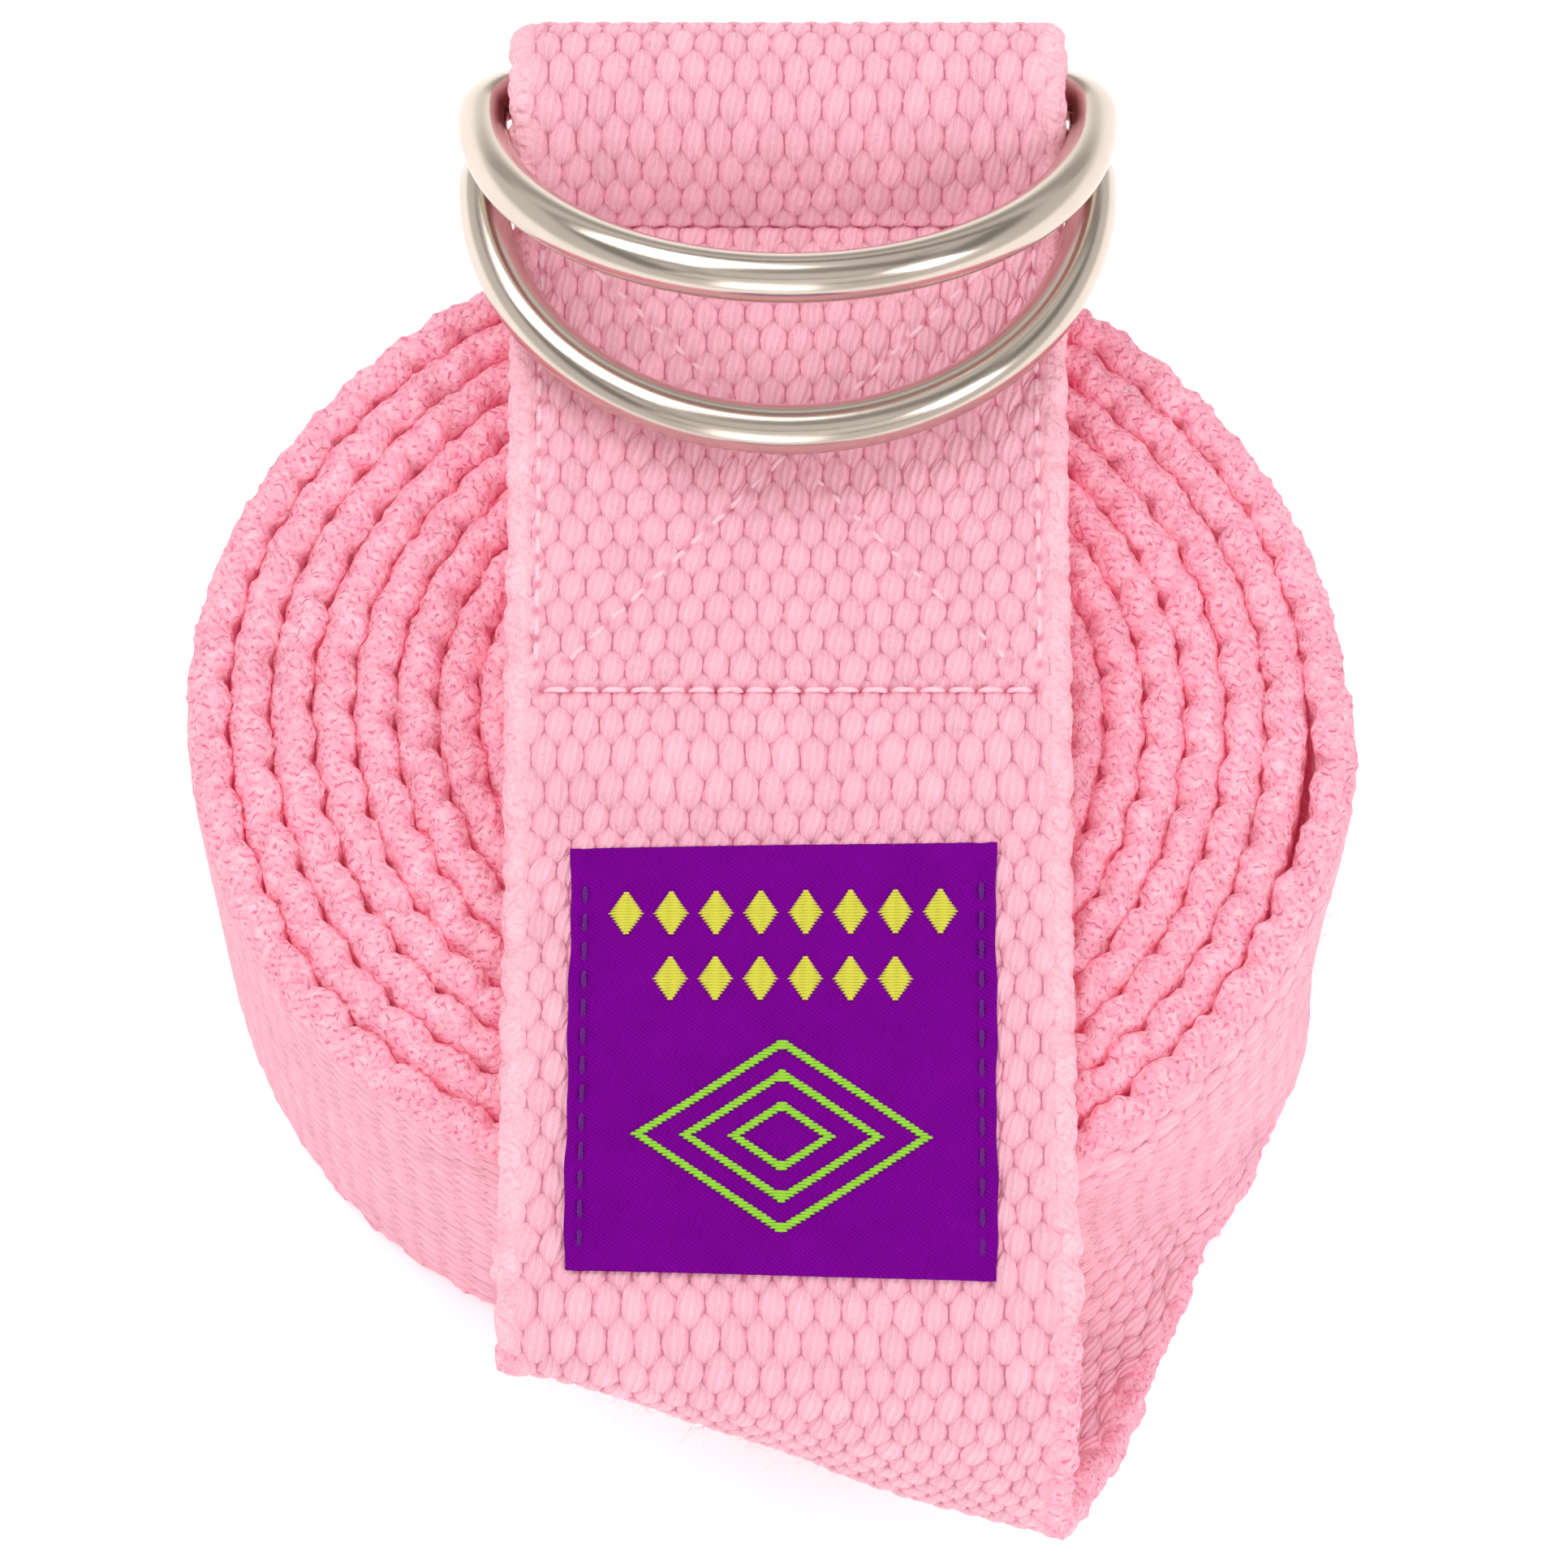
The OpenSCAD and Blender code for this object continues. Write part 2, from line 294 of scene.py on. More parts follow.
def pull_links(grid, free, du, dv):
    """One pass over every link: how far each grid point is to move."""
    rows, columns = grid.shape[0] - 1, grid.shape[1] - 1
    move = np.zeros_like(grid)
    for di, dj, stiffness, bending in LINKS:
        near = slice(max(0, -dj), columns + 1 - max(0, dj))
        far = slice(max(0, dj), columns + 1 - max(0, -dj))
        gap = grid[di:, far] - grid[:rows + 1 - di, near]
        length = np.linalg.norm(gap, axis=-1) + 1e-9
        stretch = (length - math.hypot(di * du, dj * dv)) / length
        if bending:
            stretch = np.minimum(stretch, 0)
        free_near = free[:rows + 1 - di, near]
        free_far = free[di:, far]
        stretch = 0.5 * stiffness * stretch / np.maximum(free_near + free_far, 1)
        move[:rows + 1 - di, near] += (stretch * free_near)[..., None] * gap
        move[di:, far] -= (stretch * free_far)[..., None] * gap
    return move


def push_out(grid, free, crossing):
    """Keeps the webbing off the roll and the table, and the incoming stretch below the crossing."""
    held = free == 0
    ratio = np.hypot((grid[..., 0] - ROLL_X) / ROLL_R, grid[..., 1] / (ROLL_SQUASH * ROLL_R))
    inside = (ratio < 1) & (grid[..., 2] < LOW_MID) & ~held
    grid[..., 2] = np.where(inside & crossing, LOW_MID, grid[..., 2])
    scale = np.where(inside & ~crossing, 1 / np.maximum(ratio, 1e-6), 1)
    grid[..., 0] *= scale
    grid[..., 1] *= scale
    lowest = np.where(held, grid[..., 2], np.maximum(grid[..., 2], 0.0))
    grid[..., 2] = np.where(~held & ~crossing, np.minimum(lowest, STRAP_W + 0.2), lowest)


def part_layers(grid, free, du, room):
    """Keeps stretches of the webbing that lie on each other apart by room."""
    columns = grid.shape[1]
    points = grid.reshape(-1, 3)
    row = np.arange(len(points)) // columns
    far_rows = math.ceil(7 / du)
    start = 10 * columns
    part = points[start:]
    square = (part ** 2).sum(1)
    distance = square[:, None] + square[None] - 2 * part @ part.T
    a, b = np.nonzero(distance < room ** 2)
    apart = row[b + start] - row[a + start] >= far_rows
    a = a[apart] + start
    b = b[apart] + start
    gap = points[b] - points[a]
    length = np.linalg.norm(gap, axis=1) + 1e-9
    shift = ((room - length) / length * 0.25)[:, None] * gap
    loose = free.reshape(-1)
    np.add.at(points, a, -shift * loose[a][:, None])
    np.add.at(points, b, shift * loose[b][:, None])


def solve_fold(rows=64, columns=13):
    """Shape of the webbing round the front fold, as a grid of points in millimetres."""
    du = FOLD_L / rows
    dv = STRAP_W / columns
    w = np.linspace(-HALF_W, HALF_W, columns + 1)
    grid, free = fold_start(rows, columns, w)
    share = (w + HALF_W) / STRAP_W
    fold_row = rows - (FOLD_LEFT_BACK + (FOLD_RIGHT_BACK - FOLD_LEFT_BACK) * share) / du
    crossing = np.arange(rows + 1)[:, None] > fold_row[None]
    holds = fold_holds(rows, columns)
    for step in range(2000):
        hold = min(1, step / 600)
        for i, j, place, pull in holds:
            grid[i, j] += (place - grid[i, j]) * pull * hold
        for _ in range(2):
            grid += 0.55 * pull_links(grid, free, du, dv)
            push_out(grid, free, crossing)
        if step % 5 == 0:
            part_layers(grid, free, du, LAYER_ROOM)
    for _ in range(3):
        smooth = grid.copy()
        smooth[1:-1] = (grid[:-2] + 2 * grid[1:-1] + grid[2:]) / 4
        grid = np.where(free[..., None] > 0, smooth, grid)
    return grid


def cubic(values, at):
    """Catmull-Rom interpolation along the first axis, at fractional places."""
    last = len(values) - 1
    i = np.clip(np.floor(at).astype(int), 0, last - 1)
    t = (at - i).reshape((-1,) + (1,) * (values.ndim - 1))
    p = [values[np.clip(i + k, 0, last)] for k in (-1, 0, 1, 2)]
    return 0.5 * (2 * p[1] + (p[2] - p[0]) * t
                  + (2 * p[0] - 5 * p[1] + 4 * p[2] - p[3]) * t ** 2
                  + (3 * p[1] - p[0] - 3 * p[2] + p[3]) * t ** 3)


def tangent_angle(y, z, side):
    """Angle in degrees at which a line from (y, z) touches the loop, side = 1 on top, -1 below."""
    ahead = math.atan2(LOOP_Z - z, LOOP_Y - y)
    spread = math.asin(LOOP_R / math.hypot(LOOP_Z - z, LOOP_Y - y))
    return math.degrees(ahead + side * spread) + side * 90


def end_profile():
    """Side view of the crossing end as points (y, z), from FLAT_Y round the loop to the raw end."""
    ramp_y = np.linspace(*RAMP_Y, 12)
    share = (ramp_y - RAMP_Y[0]) / (RAMP_Y[1] - RAMP_Y[0])
    ramp = [(y, LOW_MID + (UP_MID - LOW_MID) * ease(s)) for y, s in zip(ramp_y, share)]
    first = tangent_angle(LAYERS_END_Y, UP_MID, 1)
    last = tangent_angle(LAYERS_END_Y, LOW_MID, -1)
    turn = [(LOOP_Y + LOOP_R * math.cos(a), LOOP_Z + LOOP_R * math.sin(a))
            for a in np.radians(np.linspace(first, last, 90))]
    points = [(FLAT_Y, LOW_MID)] + ramp + [(LAYERS_END_Y, UP_MID)] + turn
    points += [(LAYERS_END_Y, LOW_MID), (RAW_END_Y, LOW_MID)]
    line = polyline(points, 1400)
    for _ in range(60):
        line[1:-1] = (line[:-2] + 2 * line[1:-1] + line[2:]) / 4
    return line, lengths_along(line)


END_LINE, END_LENGTHS = end_profile()
TOP_LAYER = END_LINE[:np.argmax(END_LINE[:, 1])]
RISE_Y = TOP_LAYER[:, 0]
RISE = np.where(RISE_Y > 20, TOP_LAYER[:, 1] - UP_MID, 0)   # how the upper layer lifts to the loop
FLAT_S = ROLL_L + FOLD_L                    # where the crossing's flat stretch starts
STRAP_L = FLAT_S + END_LENGTHS[-1]


def roll_rise(s):
    """Small differences in height between the turns."""
    rise = 0.08 * np.sin(s / 41.0) + 0.05 * np.sin(s / 17.3 + 2) - 0.02
    fade = np.clip((ROLL_L - s) / 60, 0, 1)
    return rise * fade


def middle_surface(s, w):
    """Middle surface of the webbing at lengths s and places w across, as a grid of points."""
    grid = np.zeros((len(s), len(w), 3))
    rolled = s < ROLL_L
    crossing = s > FLAT_S
    folded = ~rolled & ~crossing
    if rolled.any():
        angle = np.interp(s[rolled], SPIRAL_LENGTHS, SPIRAL_ANGLES)[:, None]
        grid[rolled] = spiral(angle, w[None], roll_rise(s[rolled])[:, None])
    if folded.any():
        at = (s[folded] - ROLL_L) / FOLD_L * (len(FOLD_GRID) - 3) + 1
        rows = cubic(FOLD_GRID, at)
        across = (w + HALF_W) / STRAP_W * (FOLD_GRID.shape[1] - 1)
        grid[folded] = cubic(rows.transpose(1, 0, 2), across).transpose(1, 0, 2)
    if crossing.any():
        y = np.interp(s[crossing] - FLAT_S, END_LENGTHS, END_LINE[:, 0])[:, None]
        z = np.interp(s[crossing] - FLAT_S, END_LENGTHS, END_LINE[:, 1])[:, None]
        grid[crossing] = np.stack(np.broadcast_arrays(END_X + w[None], y, z), -1)
    return grid


def extended_fold():
    """The solved fold with one more row of the roll before it and one of the crossing after."""
    grid = solve_fold()
    w = np.linspace(-HALF_W, HALF_W, grid.shape[1])
    du = FOLD_L / (len(grid) - 1)
    before = spiral(FOLD_ANGLE + math.degrees(du / (ROLL_R * MEAN_SQUASH)), w)
    after = crossing_row(FLAT_Y + du, w)
    return np.concatenate([before[None], grid, after[None]])


FOLD_GRID = extended_fold()


# ---- Weave relief ----

def seed_height(u, v):
    """Height, from 0 to 1, of the weave's seeds at u and v, in seed pitches and rows."""
    best = np.zeros(np.broadcast(u, v).shape)
    for aside in (0.0, 0.5):
        du = (u + 0.5 - aside) % 1 - 0.5
        dv = 2 * ((v / 2 + 0.5 - aside) % 1 - 0.5)
        taper = np.clip(1 - np.abs(dv / SEED_HALF[1]) ** 1.8, 0.001, 1)
        inside = 1 - (du / (SEED_HALF[0] * taper ** 0.55)) ** 2
        best = np.maximum(best, np.sqrt(np.clip(inside, 0, 1)) * taper ** 0.4)
    return best


def warp(c, s):
    """Lets the rows of seeds wander a little: new place across and along."""
    across = 0.10 * np.sin(s / 5.3 + c * 0.31) + 0.07 * np.sin(s / 2.1 - c * 0.9)
    along = 0.16 * np.sin(c / 3.1 + s * 0.12) + 0.10 * np.sin(c / 1.3 + s * 0.37)
    return c + across, s + along


def flat_places(flat, step):
    """Even steps over the flat part of a face. Coarse steps get one more place near each edge."""
    if step < 3:
        return np.linspace(-flat, flat, round(2 * flat / step) + 1)
    inner = np.linspace(1.4 - flat, flat - 1.4, round(2 * flat / step) - 1)
    return np.concatenate([[-flat], inner, [flat]])


def rounded_section(front, back, radius, steps):
    """Section with two flat faces and round edges: places across, and normals from 1 to -1."""
    bend = np.linspace(0, math.pi, steps + 2)[1:-1]
    edge = front[-1] + radius * np.sin(bend)
    normal = [np.ones(len(front)), np.cos(bend), -np.ones(len(back)), -np.cos(bend)]
    return np.concatenate([front, edge, back, -edge]), np.concatenate(normal)


def section(step_front, step_back):
    """Places round the webbing's cross section, each as (w, normal, sideways, perimeter).

    The front face is the one that faces out of the roll and down from the crossing."""
    flat = HALF_W - EDGE_ROUND
    bend = np.linspace(0, math.pi, EDGE_STEPS + 2)[1:-1]
    arc = EDGE_ROUND * 2.4 / math.pi
    front = flat_places(flat, step_front)
    back = -flat_places(flat, step_back)
    w, normal = rounded_section(front, back, EDGE_ROUND, EDGE_STEPS)
    side = np.concatenate([np.zeros(len(front)), np.sin(bend),
                           np.zeros(len(back)), -np.sin(bend)])
    around = np.concatenate([front, flat + arc * bend,
                             3 * flat + arc * math.pi - back - flat,
                             3 * flat + arc * (math.pi + bend)])
    return w, normal, side, around


def seam_press(x, y, on_top):
    """How far the box seam and the ends of its stitches press the cloth in, from 0 to 1."""
    press = np.zeros(x.shape)
    holes = np.zeros(x.shape)
    for a, b, depth in seam_lines():
        a, ahead, length, places = stitch_layout(a, b)
        along = (x - a[0]) * ahead[0] + (y - a[1]) * ahead[1]
        aside = np.abs((x - a[0]) * ahead[1] - (y - a[1]) * ahead[0])
        near = np.clip(along, 0, length) == along
        line = np.where(near, depth * np.exp(-(aside / 0.42) ** 2), 0)
        phase = (along - places[0] + (STITCH_PITCH - STITCH_L) / 2) / STITCH_PITCH
        to_hole = np.abs(phase - np.round(phase)) * STITCH_PITCH
        hole = np.where(near, depth * np.exp(-(to_hole / 0.3) ** 2 - (aside / 0.33) ** 2), 0)
        press = np.maximum(press, line)
        holes = np.maximum(holes, hole)
    return press * on_top, holes * on_top


def seam_lines():
    """The box seam: four sides and the two diagonals, each as (start, end, how much it shows)."""
    x0, x1 = SEAM_X
    y0, y1 = SEAM_Y
    short = 1.6
    return [((x0, y0), (x1, y0), 1.0), ((x0, y1), (x1, y1), 0.9),
            ((x0, y0 + short), (x0, y1 - short), 0.6), ((x1, y0 + short), (x1, y1 - short), 0.6),
            ((x0 + short, y0 + short), (x1 - short, y1 - short), 0.5),
            ((x0 + short, y1 - short), (x1 - short, y0 + short), 0.4)]


def stitch_layout(a, b):
    """A seam line's start, direction and length, and how far along it each stitch starts."""
    a, b = np.array(a), np.array(b)
    length = np.linalg.norm(b - a)
    count = int((length + STITCH_PITCH - STITCH_L) // STITCH_PITCH)
    spare = (length - (count - 1) * STITCH_PITCH - STITCH_L) / 2
    return a, (b - a) / length, length, spare + np.arange(count) * STITCH_PITCH


def strap_surface(s, columns):
    """Points, texture places and cloth attributes of the webbing at stations s."""
    w, normal, side, around = columns
    fine = np.linspace(-HALF_W, HALF_W, 153)
    middle = middle_surface(s, fine)
    along = np.gradient(middle, s, axis=0)
    across = unit(np.gradient(middle, fine, axis=1))
    normals = unit(np.cross(along, across))
    at = (w + HALF_W) / STRAP_W * (len(fine) - 1)
    low = np.clip(np.floor(at).astype(int), 0, len(fine) - 2)
    share = (at - low)[None, :, None]

    def pick(values):
        return values[:, low] * (1 - share) + values[:, low + 1] * share

    mid = pick(middle)
    normals = pick(normals)
    across = pick(across)
    cc, ss = warp(around[None], s[:, None])
    u = cc / SEED_PITCH
    v = ss / ROW_PITCH
    face = ease(np.clip((HALF_W - np.abs(w) - 0.8) / 1.5, 0, 1))[None]
    sewn = (s[:, None] > FLAT_S) & (mid[..., 2] > LOW_MID - 0.5)
    top = sewn & (normal[None] < 0) & (mid[..., 2] > UP_MID - 0.6) & (mid[..., 1] < LAYERS_END_Y + 1)
    press, holes = seam_press(mid[..., 0], mid[..., 1], top)
    seeds = seed_height(u, v) * (0.30 + 0.70 * face) * (1 - 0.55 * press)
    inner = in_between(normal, s)
    packed = face * ((s < PACKED_S)[:, None] | ((s < ROLL_L)[:, None] & (normal[None] < 0)))
    lift = SEED_LIFT * seeds * (1 - 0.6 * inner - 0.8 * packed) + (TURN_PITCH / 2 - CORE_HALF) * packed
    lift -= 0.10 * press + 0.30 * holes
    lift += edge_beads(s[:, None], w[None], normal[None])
    out = normals * normal[None, :, None] * CORE_HALF
    lean = unit(normals * normal[None, :, None] + across * side[None, :, None])
    points = mid + out + lean * lift[..., None]
    return points, u, v, np.broadcast_to(face, u.shape), np.clip(holes, 0, 1)


def in_between(normal, s):
    """1 where the webbing lies on itself or holds the bars, else 0."""
    ending = np.clip((s[:, None] - FLAT_S) / 3, 0, 1)
    return ending * (normal[None] > 0)


def edge_beads(s, w, normal):
    """Bulges where the weft turns back round the webbing's edges: large on the back face."""
    near = ease(np.clip((np.abs(w) - (HALF_W - 2.3)) / 1.6, 0, 1))
    phase = (s / BEAD_PITCH + 0.25 * np.sign(w)) % 1
    wave = 1 - np.abs(2 * phase - 1) ** 2.4
    shifted = (phase + 0.5) % 1
    other = 1 - np.abs(2 * shifted - 1) ** 2.4
    jitter = 1 + 0.3 * np.sin(s * 0.61) * np.sin(s * 0.173 + 1)
    lumps = 0.14 * np.sin(s * 2.9 + 3 * w) * np.sin(s * 1.13 + normal) + 0.07 * np.sin(s * 4.7 - 5 * w)
    back = np.clip(0.35 - normal, 0, 1) ** 0.6
    front = np.clip(0.35 + normal, 0, 1) ** 0.6
    beads = jitter * BEAD_LIFT * (back * (wave - 0.3) + 0.35 * front * (other - 0.3))
    return near * (beads + lumps) * np.where(s > FLAT_S, 0.5, 1)


# ---- Meshes ----

def new_mesh(name, points, faces, uv, attributes=None):
    """A smooth mesh object from points in millimetres. uv is one pair per face corner."""
    mesh = bpy.data.meshes.new(name)
    mesh.from_pydata((points.reshape(-1, 3) * MM).tolist(), [], faces)
    mesh.validate()
    layer = mesh.uv_layers.new(name="weave")
    layer.data.foreach_set("uv", np.asarray(uv, np.float32).ravel())
    for key, values in (attributes or {}).items():
        attribute = mesh.attributes.new(key, "FLOAT", "POINT")
        attribute.data.foreach_set("value", np.asarray(values, np.float32).ravel())
    mesh.polygons.foreach_set("use_smooth", np.ones(len(mesh.polygons), bool))
    mesh.update()
    piece = bpy.data.objects.new(name, mesh)
    bpy.context.scene.collection.objects.link(piece)
    return piece


def tube_faces(rows, columns):
    """Quads of a tube of rows rings with columns points each, as an array of indices."""
    i = np.arange(rows - 1)[:, None]
    j = np.arange(columns)[None]
    k = (j + 1) % columns
    here, ahead = i * columns, (i + 1) * columns
    return np.stack([here + j, here + k, ahead + k, ahead + j], -1).reshape(-1, 4)


def grid_tube(name, points, u, v, attributes=None, turn=None):
    """A mesh of rings of points with a cap at both ends, and u and v as its texture places.

    turn is what u gains once round. Only where it is given do the caps get the texture too."""
    rows, count = points.shape[:2]
    u, v = [np.broadcast_to(values, (rows, count)).reshape(-1) for values in (u, v)]
    corners = tube_faces(rows, count)[:, ::-1]
    ring = np.arange(count)
    caps = np.stack([ring, (ring + (rows - 1) * count)[::-1]])
    corner_u = u[corners]
    cap_uv = np.zeros((2 * count, 2))
    if turn is not None:
        wrapped = corners[:, 2] % count == 0
        corner_u = np.where(wrapped[:, None] & (corner_u < 0), corner_u + turn, corner_u)
        cap_uv = np.stack([u[caps], v[caps]], -1).reshape(-1, 2)
    uv = np.concatenate([np.stack([corner_u, v[corners]], -1).reshape(-1, 2), cap_uv])
    return new_mesh(name, points, corners.tolist() + caps.tolist(), uv, attributes)


def strap_piece(name, s, columns, lead_in, lead_out):
    """One stretch of webbing over stations s. A short skirt tucks its end under the next piece.

    Its attributes are face, 0 on the selvages; hole, 1 where a stitch dips in; and pale, 1 up on the
    crossing, where painted light makes the selvages paler than the roll's, whose deeper edges are
    painted shade between the turns."""
    tuck = 0.1
    before = [s[0] - tuck] if lead_in else []
    after = [s[-1] + tuck] if lead_out else []
    points, u, v, face, holes = strap_surface(np.concatenate([before, s, after]), columns)
    inward = unit(points.mean(axis=1, keepdims=True) - points)
    if lead_in:
        points[0] += inward[0] * tuck
    if lead_out:
        points[-1] += inward[-1] * tuck
    # painted light: pale rises with height, so the selvages up on the crossing come out paler than the
    # roll's
    pale = np.clip((points[..., 2] - LOW_MID + 1) / 1.5, 0, 1) * (s[0] >= ROLL_L)
    attributes = {"face": face, "hole": holes, "pale": pale}
    piece = grid_tube(name, points, u, v, attributes, perimeter(columns) / SEED_PITCH)
    # The caps and the skirts stay flat shaded
    rows, count = u.shape
    smooth = np.ones(len(piece.data.polygons), bool)
    smooth[-2:] = False
    if lead_in:
        smooth[:count] = False
    if lead_out:
        smooth[(rows - 2) * count:] = False
    piece.data.polygons.foreach_set("use_smooth", smooth)
    return piece


def perimeter(columns):
    around = columns[3]
    return around[-1] - around[0] + (around[-1] - around[-2])


def stations(start, end, step):
    return np.linspace(start, end, max(2, round((end - start) / step)) + 1)


# ---- Materials ----

def display(r, g, b):
    """Display colour, 0 to 255, as the linear colour a shader takes."""
    values = [c / 255 for c in (r, g, b)]
    linear = [c / 12.92 if c <= 0.04045 else ((c + 0.055) / 1.055) ** 2.4 for c in values]
    return (*linear, 1.0)


class Net:
    """A material's node tree, with short ways to add and join nodes."""

    def __init__(self, name, roughness, metallic=0.0, sheen=0.0, specular=0.5):
        self.material = bpy.data.materials.new(name)
        self.material.use_nodes = True
        self.tree = self.material.node_tree
        self.shader = self.tree.nodes["Principled BSDF"]
        self.shader.inputs["Roughness"].default_value = roughness
        self.shader.inputs["Metallic"].default_value = metallic
        self.shader.inputs["Sheen Weight"].default_value = sheen
        self.shader.inputs["Sheen Roughness"].default_value = 0.4
        self.shader.inputs["Specular IOR Level"].default_value = specular

    def put(self, socket, value):
        if isinstance(value, bpy.types.NodeSocket):
            self.tree.links.new(value, socket)
        elif value is not None:
            socket.default_value = value

    def node(self, kind, *inputs, **settings):
        node = self.tree.nodes.new("ShaderNode" + kind)
        for key, value in settings.items():
            setattr(node, key, value)
        for socket, value in zip(node.inputs, inputs):
            self.put(socket, value)
        return node

    def math(self, operation, *values):
        return self.node("Math", *values, operation=operation).outputs[0]

    def total(self, *values):
        result = values[0]
        for value in values[1:]:
            result = self.math("ADD", result, value)
        return result

    def scaled(self, value, factor, offset=0.0):
        return self.math("MULTIPLY_ADD", value, factor, offset)

    def clamped(self, value, low, high):
        """0 at low, 1 at high, and held outside them."""
        node = self.node("MapRange", value, low, high, 0.0, 1.0)
        return node.outputs[0]

    def wave(self, phase):
        """Sine of a phase in turns."""
        return self.math("SINE", self.scaled(phase, TAU))

    def mix(self, share, a, b):
        node = self.tree.nodes.new("ShaderNodeMix")
        node.data_type = "RGBA"
        self.put(node.inputs[0], share)
        self.put(node.inputs[6], a)
        self.put(node.inputs[7], b)
        return node.outputs[2]

    def shade(self, colour, factor):
        """Colour times a number."""
        node = self.node("VectorMath", colour, operation="SCALE")
        self.put(node.inputs["Scale"], factor)
        return node.outputs[0]

    def ramp(self, value, *stops):
        node = self.node("ValToRGB", value)
        elements = node.color_ramp.elements
        while len(elements) < len(stops):
            elements.new(0.5)
        for element, (place, colour) in zip(elements, stops):
            element.position = place
            element.color = colour
        return node.outputs[0]

    def noise(self, vector, scale, detail=2.0):
        return self.node("TexNoise", vector, None, scale, detail).outputs[0]

    def vector(self, x, y, z=0.0):
        return self.node("CombineXYZ", x, y, z).outputs[0]

    def place(self):
        """Place on the piece itself, in metres."""
        return self.node("TexCoord").outputs["Object"]

    def weave(self):
        """The two directions of the piece's weave layer."""
        split = self.node("SeparateXYZ", self.node("UVMap", uv_map="weave").outputs[0])
        return split.outputs[0], split.outputs[1]

    def attribute(self, name):
        return self.node("Attribute", attribute_name=name).outputs["Fac"]

    def glow(self, colour, strength):
        self.shader.inputs["Emission Color"].default_value = colour
        self.shader.inputs["Emission Strength"].default_value = strength

    def finish(self, colour, height=None, depth=0.0001, strength=0.6):
        self.put(self.shader.inputs["Base Color"], colour)
        if height is not None:
            bump = self.node("Bump", strength, depth)
            self.put(bump.inputs["Height"], height)
            self.put(self.shader.inputs["Normal"], bump.outputs[0])
        return self.material


def webbing_material():
    net = Net("cotton_webbing", 0.95, sheen=0.06, specular=0.12)
    u, v = net.weave()
    place = net.place()
    u = net.total(u, net.scaled(net.noise(place, 900.0), 0.14, -0.07))
    v = net.total(v, net.scaled(net.noise(place, 700.0), 0.2, -0.1))
    (high_a, tone_a, strands_a), (high_b, tone_b, strands_b) = [
        seed_nodes(net, u, v, aside) for aside in (0.0, 0.5)]
    first = net.math("GREATER_THAN", high_a, high_b)

    def chosen(a, b):
        return net.total(net.math("MULTIPLY", first, net.math("SUBTRACT", a, b)), b)

    high = chosen(high_a, high_b)
    tone = chosen(tone_a, tone_b)
    strands = chosen(strands_a, strands_b)
    face = net.attribute("face")
    # painted light and shade: the colour runs from dark pink in the gaps between the seeds to palest on
    # the seed tops
    colour = net.ramp(net.clamped(high, -0.5, 1.0),
                      (0.00, display(230, 112, 152)), (0.22, display(238, 138, 170)),
                      (0.31, display(245, 164, 188)), (0.40, display(251, 184, 202)),
                      (0.60, display(252, 191, 207)), (1.00, display(253, 198, 213)))
    braid = braid_nodes(net, u, v)
    mottle = net.clamped(net.noise(place, 1100.0, 1.0), 0.35, 0.65)
    edge = net.mix(mottle, display(253, 193, 208), display(249, 172, 194))
    # painted light and shade, partly real: up on the crossing the selvages turn paler and lose most
    # flecks, while on the roll they stay deeper pink as painted shade between the turns
    pale = net.attribute("pale")
    edge = net.mix(net.scaled(pale, 0.7), edge, display(254, 203, 214))
    braid = net.math("MULTIPLY", braid, net.scaled(pale, -0.7, 1.0))
    edge = net.mix(braid, edge, display(236, 108, 152))
    colour = net.mix(face, edge, colour)
    fibres = net.noise(net.vector(net.scaled(u, 30.0), net.scaled(v, 7.0)), 1.0, 3.0)
    patch = net.noise(place, 220.0, 3.0)
    strand_lines = net.math("MULTIPLY", net.clamped(strands, -0.2, -1.0), face)
    light = net.total(net.scaled(tone, 0.10, 0.95), net.scaled(strand_lines, -0.11),
                      net.scaled(fibres, 0.12, -0.06), net.scaled(patch, 0.16, -0.08))
    colour = net.shade(colour, light)
    # painted shade: the cloth turns dark rose in the stitch holes
    colour = net.mix(net.math("MULTIPLY", net.attribute("hole"), 0.9), colour, display(196, 66, 112))
    plain = net.math("SUBTRACT", 1.0, face)
    height = net.total(net.scaled(net.math("MULTIPLY", strands, face), 0.6), fibres,
                       net.scaled(net.math("MULTIPLY", braid, plain), -1.0),
                       net.scaled(net.math("MULTIPLY", mottle, plain), 2.0))
    net.glow((1.0, 0.09, 0.19, 1), 0.10)        # painted glow: a faint rose emission over all the cotton, standing in for light scattered inside it, so the shade between the turns stays pink
    return net.finish(colour, height, 0.00020, 0.8)


